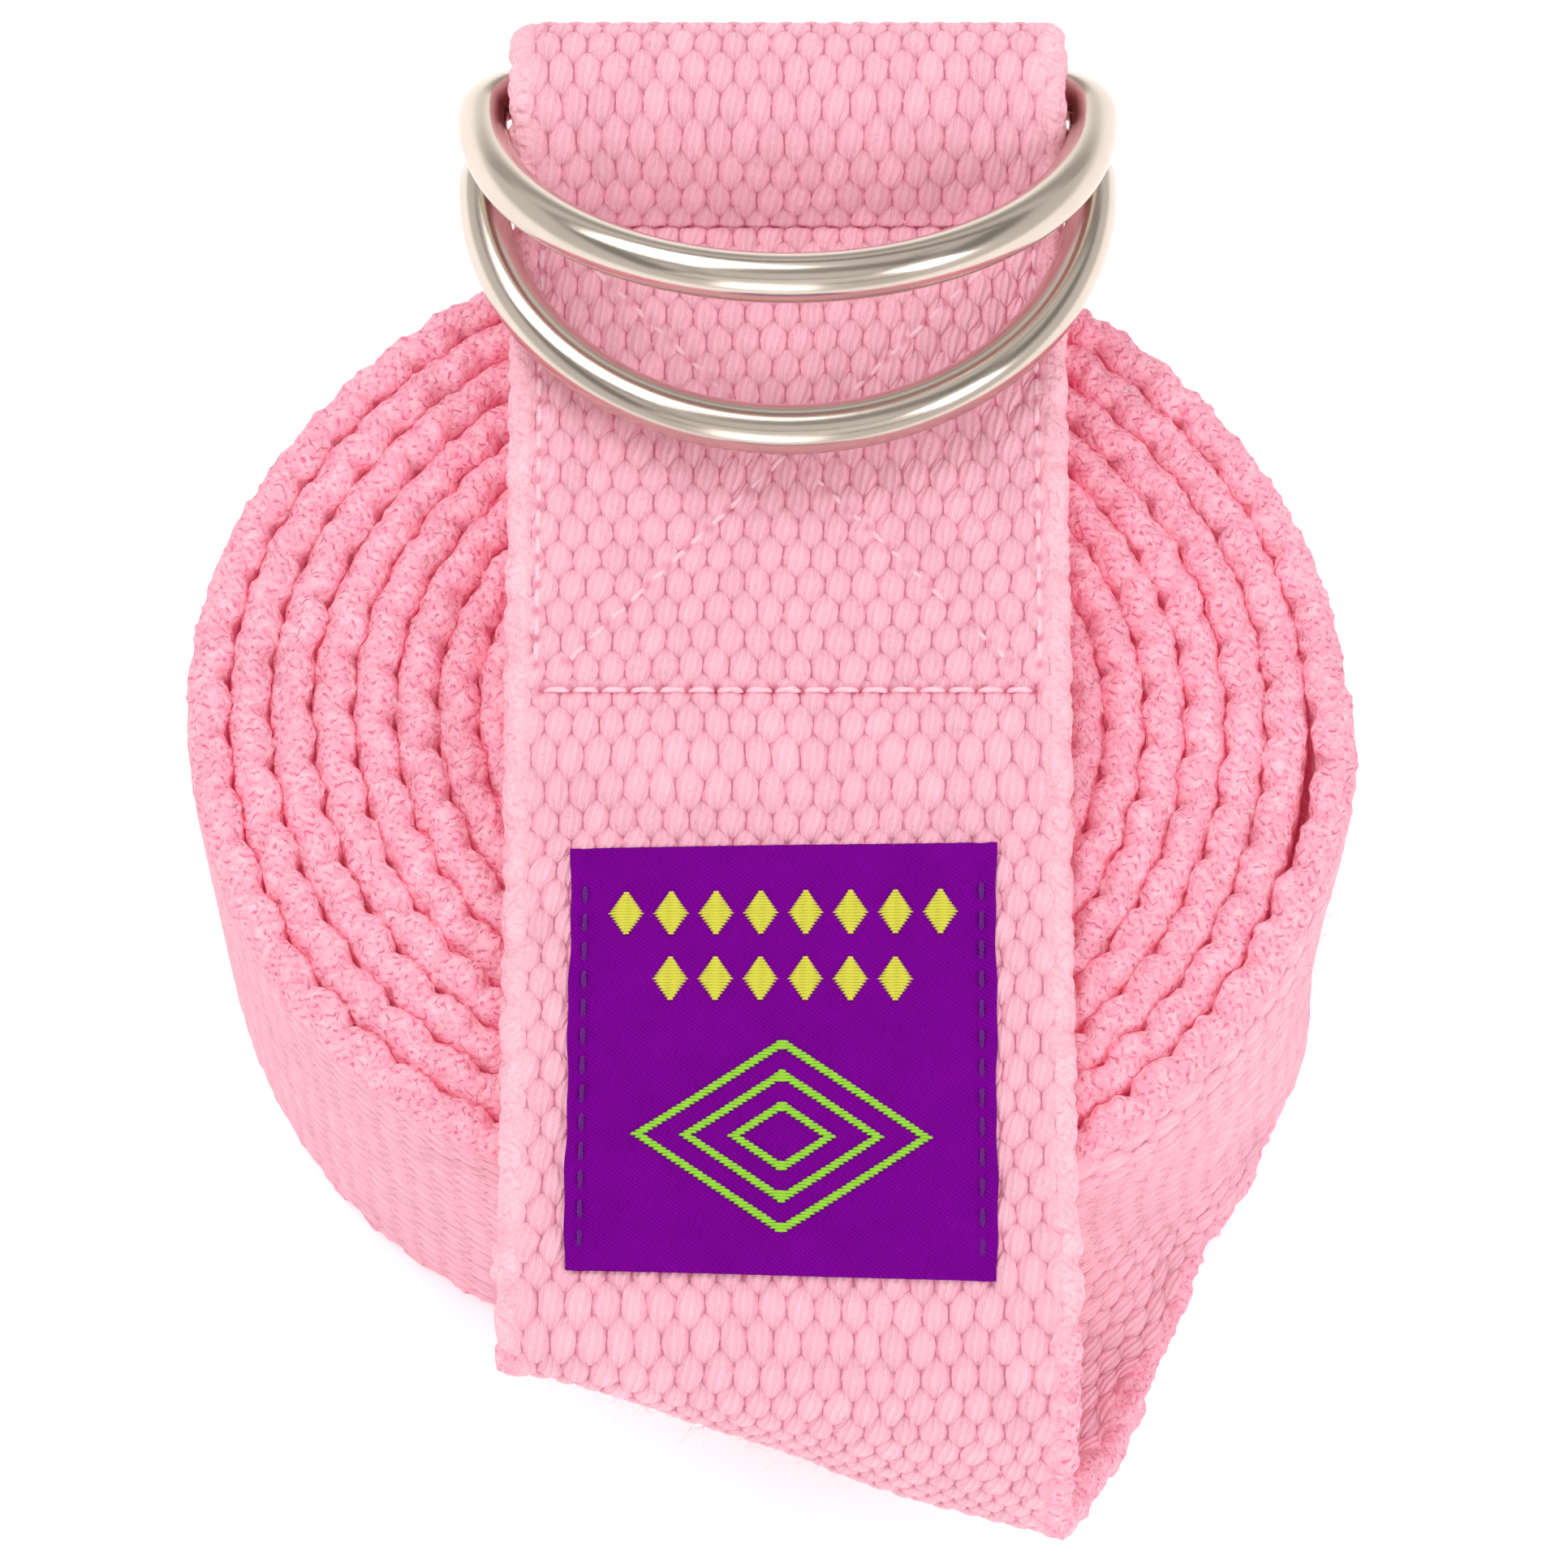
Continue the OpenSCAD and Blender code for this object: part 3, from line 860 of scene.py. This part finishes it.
def seed_nodes(net, u, v, aside):
    """One family of seeds: its height (below 0 between them), a tone for each seed, its strands."""
    across = net.math("ADD", u, 0.5 - aside)
    along = net.math("MULTIPLY_ADD", v, 0.5, 0.5 - aside)
    cell = net.vector(net.math("FLOOR", across), net.math("FLOOR", along), aside)
    tone = net.node("TexWhiteNoise", cell, noise_dimensions="3D").outputs[0]
    dv = net.scaled(net.math("SUBTRACT", net.math("FRACT", along), 0.5), 2.0)
    lean = net.math("MULTIPLY", dv, net.scaled(tone, 0.16, -0.08))
    du = net.total(net.math("SUBTRACT", net.math("FRACT", across), 0.5), lean)
    far = net.math("ABSOLUTE", net.scaled(dv, 1 / SEED_HALF[1]))
    taper = net.math("SUBTRACT", 1.0, net.math("POWER", far, 1.8))
    half = net.math("POWER", net.math("MAXIMUM", taper, 0.0), 0.55)
    half = net.math("MAXIMUM", net.scaled(half, SEED_HALF[0]), 0.03)
    share = net.math("DIVIDE", du, half)
    inside = net.math("SUBTRACT", 1.0, net.math("MULTIPLY", share, share))
    open_taper = net.math("MAXIMUM", taper, 0.0)
    high = net.math("MULTIPLY", net.math("MAXIMUM", inside, 0.0), open_taper)
    outside = net.math("MINIMUM", net.scaled(inside, 0.15), 0.0)
    strands = net.wave(net.total(net.scaled(share, 1.4), net.scaled(dv, 0.8), tone))
    return net.total(high, outside), tone, strands


def braid_nodes(net, u, v):
    """Fine broken chevrons of the closely woven edges, from 0 to 1."""
    stray = net.noise(net.vector(net.scaled(u, 1.7), v), 1.6, 2.0)
    across = net.total(net.scaled(u, 2.5), net.scaled(stray, 1.6))
    zigzag = net.math("ABSOLUTE", net.scaled(net.math("FRACT", across), 2.0, -1.0))
    along = net.total(net.scaled(v, 2.7), net.scaled(zigzag, 0.7), net.scaled(stray, 2.2))
    line = net.math("ABSOLUTE", net.scaled(net.math("FRACT", along), 2.0, -1.0))
    line = net.clamped(line, 0.45, 1.0)
    gate = net.noise(net.vector(net.scaled(u, 3.1), net.scaled(v, 2.9)), 1.7, 1.0)
    return net.math("MULTIPLY", line, net.clamped(gate, 0.44, 0.68))


def thread_material(name, colour):
    net = Net(name, 0.75, sheen=0.3, specular=0.25)
    u, v = net.weave()
    strands = net.wave(net.total(net.scaled(u, 9.0), net.scaled(v, 3.0)))
    fibres = net.noise(net.place(), 6000.0)
    light = net.total(net.scaled(strands, 0.05, 0.97), net.scaled(fibres, 0.16, -0.08))
    return net.finish(net.shade(colour[:3], light),
                      net.total(net.scaled(strands, 0.5), fibres), 0.00004, 0.5)


def nickel_material():
    net = Net("nickel_plate", 0.20, metallic=1.0)
    u, v = net.weave()
    cloud = net.noise(net.place(), 130.0, 3.0)
    tint = net.mix(net.clamped(cloud, 0.3, 0.7), display(214, 202, 191), display(203, 190, 179))
    scratches = net.noise(net.vector(net.scaled(u, 60.0), net.scaled(v, 1.6)), 1.0, 2.0)
    return net.finish(tint, net.total(scratches, net.scaled(cloud, 2.0)), 0.00002, 0.12)


def label_material():
    net = Net("label_satin", 0.55, sheen=0.0, specular=0.03)
    x, y = net.weave()
    twill = net.wave(net.total(net.scaled(x, 2.6), net.scaled(y, 3.4)))
    rows = net.wave(net.scaled(y, 5.2))
    thread = net.noise(net.vector(net.scaled(x, 9.0), net.scaled(y, 1.2)), 1.0, 2.0)
    patch = net.noise(net.vector(x, y), 0.12, 2.0)
    light = net.total(net.scaled(twill, 0.16, 1.0), net.scaled(thread, 0.5, -0.25),
                      net.scaled(patch, 0.14, -0.07))
    colour = net.mix(net.clamped(net.noise(net.vector(x, y), 0.3), 0.35, 0.65),
                     display(114, 0, 138), display(119, 0, 143))
    height = net.total(twill, net.scaled(rows, 0.4), net.scaled(thread, 0.7))
    return net.finish(net.shade(colour, light), height, 0.00007, 0.6)


def floor_material():
    net = Net("pale_floor", 0.9, specular=0.0)
    cloud = net.noise(net.place(), 3.0)
    colour = net.mix(cloud, (0.97, 0.97, 0.97, 1), (0.99, 0.99, 0.99, 1))
    net.glow((1, 1, 1, 1), 0.22)
    return net.finish(colour)


# ---- Threads and wire ----

def sweep(centres, sides, ups, radius_a, radius_b):
    """Points of tubes: centres (n, m, 3), side and up vectors that fit them, radii (n, m, k)."""
    turn = np.linspace(0, TAU, radius_a.shape[-1], endpoint=False)
    return (centres[..., None, :]
            + (radius_a * np.cos(turn))[..., None] * sides[..., None, :]
            + (radius_b * np.sin(turn))[..., None] * ups[..., None, :])


def tubes(name, points, uv_long, closed=False):
    """One mesh from n tubes of m rings with k points each, with end caps unless closed on itself."""
    n, m, k = points.shape[:3]
    quads = tube_faces(m + 1 if closed else m, k)
    along = quads // k
    around = quads % k
    wrapped = (around[:, 1:3] == 0).all(axis=1)
    turn = around / k
    turn[wrapped, 1] = 1.0
    turn[wrapped, 2] = 1.0
    quads = (along % m) * k + around
    faces = (quads[None] + (np.arange(n) * m * k)[:, None, None]).reshape(-1, 4)
    long = np.broadcast_to(uv_long, (n, m + 1 if closed else m))
    uv = np.stack([np.broadcast_to(turn, (n,) + turn.shape), long[:, along]], -1)
    faces = faces[:, ::-1].tolist()
    uv = uv[:, :, ::-1].reshape(-1, 2)
    if not closed:
        ring = np.arange(k)
        for i in range(n):
            faces.append((i * m * k + ring).tolist())
            faces.append((i * m * k + (m - 1) * k + ring)[::-1].tolist())
        uv = np.concatenate([uv, np.zeros((2 * n * k, 2))])
    return new_mesh(name, points, faces, uv)


def stitches(name, starts, ends, up, radius, arch, sink):
    """Two-ply stitches from starts to ends, arched along up and sunk into the cloth at both ends."""
    starts = np.array(starts, float)
    ends = np.array(ends, float)
    up = np.array(up, float)
    ahead = ends - starts
    length = np.linalg.norm(ahead, axis=1, keepdims=True)
    ahead /= length
    t = np.linspace(0, 1, STITCH_RINGS)
    bow = 1 - np.abs(2 * t - 1) ** 3
    lift = arch * bow - sink * (1 - bow)
    centres = starts[:, None] + ahead[:, None] * length[:, None] * t[None, :, None]
    centres = centres + up * lift[None, :, None]
    sides = np.cross(ahead, up)[:, None]
    turn = np.linspace(0, TAU, STITCH_SIDES, endpoint=False)
    phase = np.arange(len(starts)) * 2.4
    twist = turn[None, None] - 2.6 * t[None, :, None] * length[:, :, None]
    ply = np.cos(2 * twist + phase[:, None, None])
    size = np.sqrt(np.clip(1 - np.abs(2 * t - 1) ** 5, 0.12, 1))
    r = radius * size[None, :, None] * (0.92 + 0.13 * ply)
    return tubes(name, sweep(centres, sides, up, r, 0.9 * r), t * length)


def d_ring(name, node, sag):
    """A D-ring in the place of its CAD node: a straight bar, two bends and a bow, sag degrees lower."""
    low, high = box_mm(node)
    bar = np.array([high[1] - WIRE_R, low[2] + WIRE_R])
    tip = np.array([low[1] + WIRE_R, high[2] - WIRE_R])
    reach = np.linalg.norm(tip - bar)
    angle = math.atan2(tip[1] - bar[1], bar[0] - tip[0]) - math.radians(sag)
    lean = np.array([-math.cos(angle), math.sin(angle)])
    bow_r = (high[0] - low[0]) / 2 - WIRE_R
    bend_r = reach - bow_r
    half = bow_r - bend_r
    path = [(a, 0) for a in np.linspace(-half, half, 40)[1:-1]]
    path += [(half + bend_r * math.sin(a), bend_r - bend_r * math.cos(a))
             for a in np.linspace(0, math.pi / 2, 24)]
    path += [(bow_r * math.cos(a), bend_r + bow_r * math.sin(a))
             for a in np.linspace(0, math.pi, 120)[1:-1]]
    path += [(-half - bend_r * math.sin(a), bend_r - bend_r * math.cos(a))
             for a in np.linspace(math.pi / 2, 0, 24)]
    path = np.array(path)
    centre_x = (low[0] + high[0]) / 2
    to_row = np.array([[1, 0, 0], [0, lean[0], lean[1]]])
    centres = path @ to_row + [centre_x, bar[0], bar[1]]
    ahead = unit(np.roll(path, -1, axis=0) - np.roll(path, 1, axis=0))
    sides = np.stack([ahead[:, 1], -ahead[:, 0]], -1) @ to_row
    up = np.array([0, -lean[1], lean[0]])
    wave = 0.012 * np.sin(np.arange(len(path)) * TAU * 3 / len(path))
    r = np.full((1, len(path), 56), WIRE_R) + wave[None, :, None] * 0.5
    points = sweep(centres[None], sides[None], up, r, r)
    return tubes(name, points, lengths_along(np.concatenate([path, path[:1]])), closed=True)


# ---- Label ----

LABEL_MID = (LABEL_LOW + LABEL_HIGH) / 2
LABEL_HALF = (LABEL_HIGH - LABEL_LOW) / 2
LABEL_TURN = math.radians(-0.4)
LABEL_TAPER = 0.02                          # the right side is a little longer than the left
LABEL_TOP = LABEL_HIGH[2] + 0.08
LABEL_SEAM = LABEL_HALF[0] - 1.0
LABEL_HALF_T = 0.22                         # half its thickness
LABEL_ROUND = 0.45                          # its soft front and back edges
LABEL_STEPS = 150                           # grid places along and across it
YARN_R = 0.115
YARN_PITCH = 0.2
DIAMOND_ROWS = ((8, 10.0), (6, 5.4))        # how many diamonds, and how far above the middle
DIAMOND_PITCH = 3.0
DIAMOND_SIZE = (2.4, 3.2)
MOTIF_Y = -5.4
MOTIF_WIDTHS = (20.0, 13.6, 7.2)            # of its nested rhombus outlines
MOTIF_HEIGHT = 0.66                         # of each outline, as a share of its width
MOTIF_LINE = 0.9


def on_label(x, y, z):
    """Points in the shared frame from label places: x and y from its middle, z above its top."""
    c, s = math.cos(LABEL_TURN), math.sin(LABEL_TURN)
    x, y, z = np.broadcast_arrays(x, y, z)
    y = y * (1 + LABEL_TAPER * (1 + x / LABEL_HALF[0]))
    return np.stack([LABEL_MID[0] + c * x - s * y, LABEL_MID[1] + s * x + c * y,
                     LABEL_TOP + z + label_wave(x, y)], -1)


def label_wave(x, y):
    """Slight ups and downs of the label over the webbing, pressed in along its seams."""
    swell = 0.05 * np.sin(y / 2.6 + 1 + 0.2 * x) + 0.04 * np.sin(x / 3.3 + y / 6)
    weave = 0.02 * np.sin(x * TAU / SEED_PITCH) * np.sin(y * TAU / (2 * ROW_PITCH))
    seam = np.exp(-((np.abs(x) - LABEL_SEAM) / 0.4) ** 2)
    stitch = 0.5 + 0.5 * np.cos(TAU * y / LABEL_STITCH_PITCH)
    sides = np.clip((np.abs(x) - 11) / 3, 0, 1)
    puckers = 0.06 * sides * np.cos(TAU * y / (2 * LABEL_STITCH_PITCH) + np.sign(x))
    return swell + weave - (0.12 + 0.10 * stitch) * seam + puckers


def label_sheet():
    """The label: a flat tube of cloth with soft edges and its two ends turned under."""
    half_x, half_y, half_t = LABEL_HALF[0], LABEL_HALF[1], LABEL_HALF_T
    bend = np.linspace(0, math.pi / 2, 7)
    flat_y = half_y - LABEL_ROUND
    y = np.concatenate([-flat_y - LABEL_ROUND * np.cos(bend)[:-1],
                        np.linspace(-flat_y, flat_y, LABEL_STEPS),
                        flat_y + LABEL_ROUND * np.sin(bend)[1:]])
    rim = np.clip((half_y - np.abs(y)) / LABEL_ROUND, 0, 1)
    half = half_t * np.sqrt(np.clip(1 - (1 - rim) ** 2, 0.03, 1))
    folded = 0.10 * np.clip((np.abs(y) - (half_y - 3.2)) / 0.5, 0, 1)
    across = np.linspace(-1, 1, LABEL_STEPS) * (half_x - half_t)
    shape_x, shape_z = rounded_section(across, -across, half_t, 7)
    wavy_edge = 1 + 0.004 * np.sin(y / 1.9) + 0.003 * np.sin(y / 0.7)
    x = shape_x[None] * wavy_edge[:, None]
    z = (shape_z[None] - 1) * half[:, None] - half_t + half[:, None]
    z += folded[:, None] * (shape_z[None] > -0.5)
    points = on_label(x, np.broadcast_to(y[:, None], x.shape), z)
    return grid_tube("label_sheet", points, x, y[:, None])


def yarn_rows(name, spans):
    """Floats of brocade yarn lying across the label, each span as (x0, x1, y)."""
    spans = np.array(spans, float)
    t = np.linspace(0, 1, 13)
    x = spans[:, :1] + (spans[:, 1:2] - spans[:, :1]) * t
    y = np.broadcast_to(spans[:, 2:], x.shape)
    bow = np.sqrt(np.clip(1 - np.abs(2 * t - 1) ** 6, 0.06, 1))
    centres = on_label(x, y, 0.16 * bow - 0.06)
    turn = np.linspace(0, TAU, 10, endpoint=False)
    ply = np.cos(2 * turn[None, None] - 7.0 * x[..., None])
    r = YARN_R * bow[None, :, None] * (0.94 + 0.1 * ply)
    return tubes(name, sweep(centres, FORWARD, UP, r, r), x - x[:, :1])


def diamond_spans(x, y, width, height):
    """Yarn floats that fill a diamond."""
    count = int(height / YARN_PITCH) // 2
    rows = (np.arange(-count, count + 1)) * YARN_PITCH
    return [(x - w / 2, x + w / 2, y + row)
            for row in rows for w in [width * (1 - abs(row) / (height / 2 + 0.1))] if w > 0.3]


def outline_spans(x, y, width, height, line):
    """Yarn floats that draw a diamond's outline."""
    inner_w = width - 2 * line
    inner_h = inner_w * height / width
    spans = []
    for a, b, row in diamond_spans(x, y, width, height):
        hollow = inner_w * (1 - abs(row - y) / (inner_h / 2)) / 2
        if hollow > 0.15:
            spans += [(a, x - hollow, row), (x + hollow, b, row)]
        else:
            spans.append((a, b, row))
    return spans


# ---- Pieces ----

def finish_piece(piece, material, body=None, nodes=()):
    piece.data.materials.append(material)
    if body:
        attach(piece, body)
    if nodes:
        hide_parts(*nodes)
    return piece


def build_webbing():
    material = webbing_material()
    cut_s = FLAT_S - CUT_BACK
    under_s = FLAT_S + END_LENGTHS[np.argmin(END_LINE[:, 1])]
    coarse = 1
    plan = [
        ("webbing_inner_turns", 0.0, PACKED_S, 0.42, section(4.4, 4.4), "roll", ["webbing_roll"]),
        ("webbing_outer_turn", PACKED_S, ROLL_L, 0.35, section(0.34, 2.2), "roll", ["webbing_roll"]),
        ("webbing_front_fold", ROLL_L, cut_s, 0.28, section(0.30, 0.30), "roll", ["webbing_fold"]),
        ("webbing_crossing_end", cut_s, under_s, 0.27, section(1.5, 0.27), None, ["webbing_end"]),
        ("webbing_underlap", under_s, STRAP_L, 0.4, section(0.5, 1.2), "end", ["webbing_end"]),
    ]
    made = {}
    for name, start, end, step, columns, body, nodes in plan:
        s = stations(start, end, step * coarse)
        piece = strap_piece(name, s, columns, lead_in=start > 0, lead_out=end < STRAP_L)
        finish_piece(piece, material, body, nodes)
        if body is None:
            blend_end(piece)
        made[name] = piece, (STRAP_W * MM, (end - start) * MM)
    return made, material


def read_vertices(piece, key):
    values = np.zeros(len(piece.data.vertices) * 3)
    piece.data.vertices.foreach_get(key, values)
    return values.reshape(-1, 3)


def fuzz(name, counts, webbing, material, lowest):
    """Loose fibres on the cotton, rooted at random vertices above lowest and clear of the label.

    counts says how many each piece of webbing gets."""
    chance = np.random.default_rng(7)
    roots, normals = [], []
    for source, count in counts.items():
        piece = webbing[source][0]
        count = int(count * (1.0))
        co = read_vertices(piece, "co") / MM
        no = read_vertices(piece, "normal")
        beyond = np.maximum(LABEL_LOW - co, co - LABEL_HIGH)[:, :2].max(axis=1)
        chosen = chance.choice(np.nonzero((co[:, 2] > lowest) & (beyond >= FIBRE_CLEAR))[0], count)
        roots.append(co[chosen])
        normals.append(no[chosen])
    roots = np.concatenate(roots)
    normals = np.concatenate(normals)
    count = len(roots)
    ahead = unit(normals + chance.normal(0, FIBRE_SPREAD, (count, 3)))
    curl = chance.normal(0, FIBRE_CURL, (count, 3))
    least, spread, most = FIBRE_LENGTH
    length = np.minimum(least + chance.exponential(spread, (count, 1)), most)
    t = np.linspace(-0.08, 1, FIBRE_RINGS)[None, :, None]
    centres = roots[:, None] + (ahead[:, None] * t + curl[:, None] * t * t) * length[:, None]
    sides = unit(np.cross(ahead, [0.3, 0.5, 0.81]))
    ups = np.cross(ahead, sides)
    thin = chance.uniform(*FIBRE_R, (count, 1, 1)) * np.linspace(1, 0.6, FIBRE_RINGS)[None, :, None]
    thin = np.broadcast_to(thin, (count, FIBRE_RINGS, 3))
    points = sweep(centres, sides[:, None], ups[:, None], thin, thin)
    return finish_piece(tubes(name, points, t[..., 0]), material)


def build_fuzz(webbing):
    material = thread_material("loose_fibre", display(253, 203, 216))
    roll = fuzz("roll_fuzz", ROLL_FIBRES, webbing, material, 24.0)
    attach(roll, "roll")
    end = fuzz("end_fuzz", END_FIBRES, webbing, material, 39.0)
    blend_end(end)
    return roll, end


def blend_end(piece):
    """Bakes the placing of a piece of the crossing end into its mesh."""
    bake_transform(piece)


def build_hem(cotton, thread):
    low, high = box_mm("free_end_hem")
    mid = (low + high) / 2
    half = (high - low) / 2
    flat = half[0] - half[1]
    across = np.linspace(-flat, flat, 9)
    x, normal = rounded_section(across, -across, half[1], 11)
    y = half[1] * normal
    z = np.linspace(low[2], high[2], 110)
    u = lengths_along(np.stack([x, y], -1))[None] / SEED_PITCH
    v = z[:, None] / ROW_PITCH
    relief = 1 - 0.12 * (1 - seed_height(u, v))
    rim = np.clip((half[2] - np.abs(z - mid[2])) / 0.6, 0, 1)
    relief = relief * (0.72 + 0.28 * np.sqrt(rim))[:, None]
    points = np.stack(np.broadcast_arrays(mid[0] + x[None] * relief, mid[1] + y[None] * relief,
                                          z[:, None]), -1)
    ones = np.ones(points.shape[:2])
    hem = grid_tube("hem", points, u, v, {"face": ones, "hole": 0 * ones})
    finish_piece(hem, cotton, "roll", ["free_end_hem"])
    low, high = box_mm("hem_seam")
    z = np.arange(low[2], high[2] - 1.4, HEM_STITCH_PITCH)
    starts = [(mid[0], low[1] + 0.15, a) for a in z]
    ends = [(mid[0], low[1] + 0.15, a + HEM_STITCH_L) for a in z]
    seam = stitches("hem_stitches", starts, ends, (0, -1, 0), 0.2, 0.0, 0.25)
    finish_piece(seam, thread, "roll", ["hem_seam"])
    return [hem, seam]


def box_stitch_ends():
    """Starts and ends of the box seam's stitches, as (x, y, drop below the seam's level).

    The second diagonal skips the stitch where it crosses the first."""
    starts, ends = [], []
    lines = seam_lines()
    for line in lines:
        a, b, depth = line
        drop = 0.3 * (1 - depth)
        a, ahead, length, places = stitch_layout(a, b)
        for along in places:
            central = abs(along + STITCH_L / 2 - length / 2) < STITCH_PITCH * 0.9
            if not (central and line is lines[-1]):
                starts.append([*(a + ahead * along), drop])
                ends.append([*(a + ahead * (along + STITCH_L)), drop])
    return np.array(starts), np.array(ends)


def build_seams(thread, label_thread):
    starts, ends = box_stitch_ends()
    for name, node, z, up in (
            ("box_stitches", "box_seam_thread", UP_MID + CORE_HALF + 0.12, 1),
            ("box_bobbin_stitches", "box_seam_bobbin", LOW_MID - CORE_HALF - 0.35, -1)):
        rise = [np.interp(p[:, 1], RISE_Y, RISE) if up > 0 else 0 for p in (starts, ends)]
        lifted = [np.column_stack([p[:, :2], z - up * p[:, 2] + r])
                  for p, r in zip((starts, ends), rise)]
        seam = stitches(name, *lifted, (0, 0, up), THREAD_R, 0.10, 0.30)
        finish_piece(seam, thread, "end", [node])
    half = LABEL_HALF[1] - 1.5
    y = np.arange(-half, half - LABEL_STITCH_L, LABEL_STITCH_PITCH)
    for name, side in (("label_left_stitches", -1), ("label_right_stitches", 1)):
        x = np.full(len(y), side * LABEL_SEAM)
        seam = stitches(name, on_label(x, y, 0.12), on_label(x, y + LABEL_STITCH_L, 0.12),
                        UP, 0.15, 0.08, 0.16)
        node = name.replace("stitches", "seam")
        finish_piece(seam, label_thread, "end", [node])


def build_label():
    sheet = finish_piece(label_sheet(), label_material(), "end", ["woven_label"])
    yellow = thread_material("yellow_yarn", display(219, 214, 69))
    green = thread_material("green_yarn", display(153, 214, 51))
    spans = []
    for count, y in DIAMOND_ROWS:
        for k in range(count):
            spans += diamond_spans((k - (count - 1) / 2) * DIAMOND_PITCH, y, *DIAMOND_SIZE)
    diamonds = yarn_rows("label_diamond_yarn", spans)
    finish_piece(diamonds, yellow, "end", ["label_diamonds"])
    spans = []
    for width in MOTIF_WIDTHS:
        spans += outline_spans(0.0, MOTIF_Y, width, width * MOTIF_HEIGHT, MOTIF_LINE)
    motif = yarn_rows("label_motif_yarn", spans)
    finish_piece(motif, green, "end", ["label_motif"])


def build_rings():
    nickel = nickel_material()
    for name, node, body, sag in (("lower_ring_wire", "lower_d_ring", "lower_ring", 0.0),
                                  ("upper_ring_wire", "upper_d_ring", "upper_ring", 2.0)):
        finish_piece(d_ring(name, node, sag), nickel, body, [node])


# ---- Stage, lights and camera ----

def plane(name, size, place, turn=(0, 0, 0)):
    bpy.ops.mesh.primitive_plane_add(size=size, location=place, rotation=turn)
    made = bpy.context.object
    made.name = name
    return made


def area_light(name, place, target, size, watts):
    data = bpy.data.lights.new(name, "AREA")
    data.size = size
    data.energy = watts
    light = bpy.data.objects.new(name, data)
    bpy.context.scene.collection.objects.link(light)
    light.location = place
    aim(light, target)


def aim(thing, target):
    gap = Vector(target) - Vector(thing.location)
    thing.rotation_euler = gap.to_track_quat("-Z", "Y").to_euler()


def card(name, elevation, azimuth, width, height, brightness):
    """A card that only the metal reflects. Azimuth 0 is in front and 90 on the left."""
    e, a = math.radians(elevation), math.radians(azimuth)
    place = Vector((-math.sin(a) * math.cos(e), -math.cos(a) * math.cos(e), math.sin(e)))
    place *= CARD_DISTANCE
    made = plane(name, 1.0, place)
    made.scale = (width, height, 1)
    aim(made, (0, 0, 0.04))
    for ray in ("camera", "diffuse", "transmission", "shadow"):
        setattr(made, "visible_" + ray, False)
    material = bpy.data.materials.new(name)
    material.use_nodes = True
    tree = material.node_tree
    tree.nodes.clear()
    glow = tree.nodes.new("ShaderNodeEmission")
    glow.inputs[0].default_value = (brightness, brightness * 0.97, brightness * 0.91, 1)
    output = tree.nodes.new("ShaderNodeOutputMaterial")
    tree.links.new(glow.outputs[0], output.inputs[0])
    made.data.materials.append(material)


def build_stage():
    floor = plane("floor", 6.0, (0, 0, -0.0005))
    floor.data.materials.append(floor_material())
    world = bpy.data.worlds.new("studio")
    bpy.context.scene.world = world
    world.use_nodes = True
    background = world.node_tree.nodes["Background"]
    background.inputs[0].default_value = (1.0, 0.985, 0.965, 1)
    background.inputs[1].default_value = WORLD_LIGHT
    for name, place, size, watts in LIGHTS:
        area_light(name, place, (0, 0, 0.03), size, watts)
    for values in CARDS:
        card(*values)


def build_camera():
    elevation = math.radians(CAMERA_ELEVATION)
    back = Vector((0, -math.cos(elevation), math.sin(elevation)))
    target = Vector(CAMERA_TARGET) * MM
    data = bpy.data.cameras.new("camera")
    data.lens = CAMERA_LENS
    data.sensor_width = 36
    data.clip_start = 0.01
    camera = bpy.data.objects.new("camera", data)
    bpy.context.scene.collection.objects.link(camera)
    camera.location = target + back * CAMERA_DISTANCE * MM
    aim(camera, target)
    bpy.context.scene.camera = camera


# ---- Build ----

bpy.context.scene.view_settings.view_transform = "Standard"
bpy.context.scene.cycles.max_bounces = 16
bpy.context.scene.cycles.diffuse_bounces = 14     # light gets deep between the turns of pale cotton
sewing = thread_material("sewing_thread", display(252, 202, 215))
label_sewing = thread_material("label_sewing_thread", display(96, 4, 122))
webbing, cotton = build_webbing()
hem = build_hem(cotton, sewing)
roll_fuzz, end_fuzz = build_fuzz(webbing)
build_rings()
build_label()
build_seams(sewing, label_sewing)
build_stage()
build_camera()
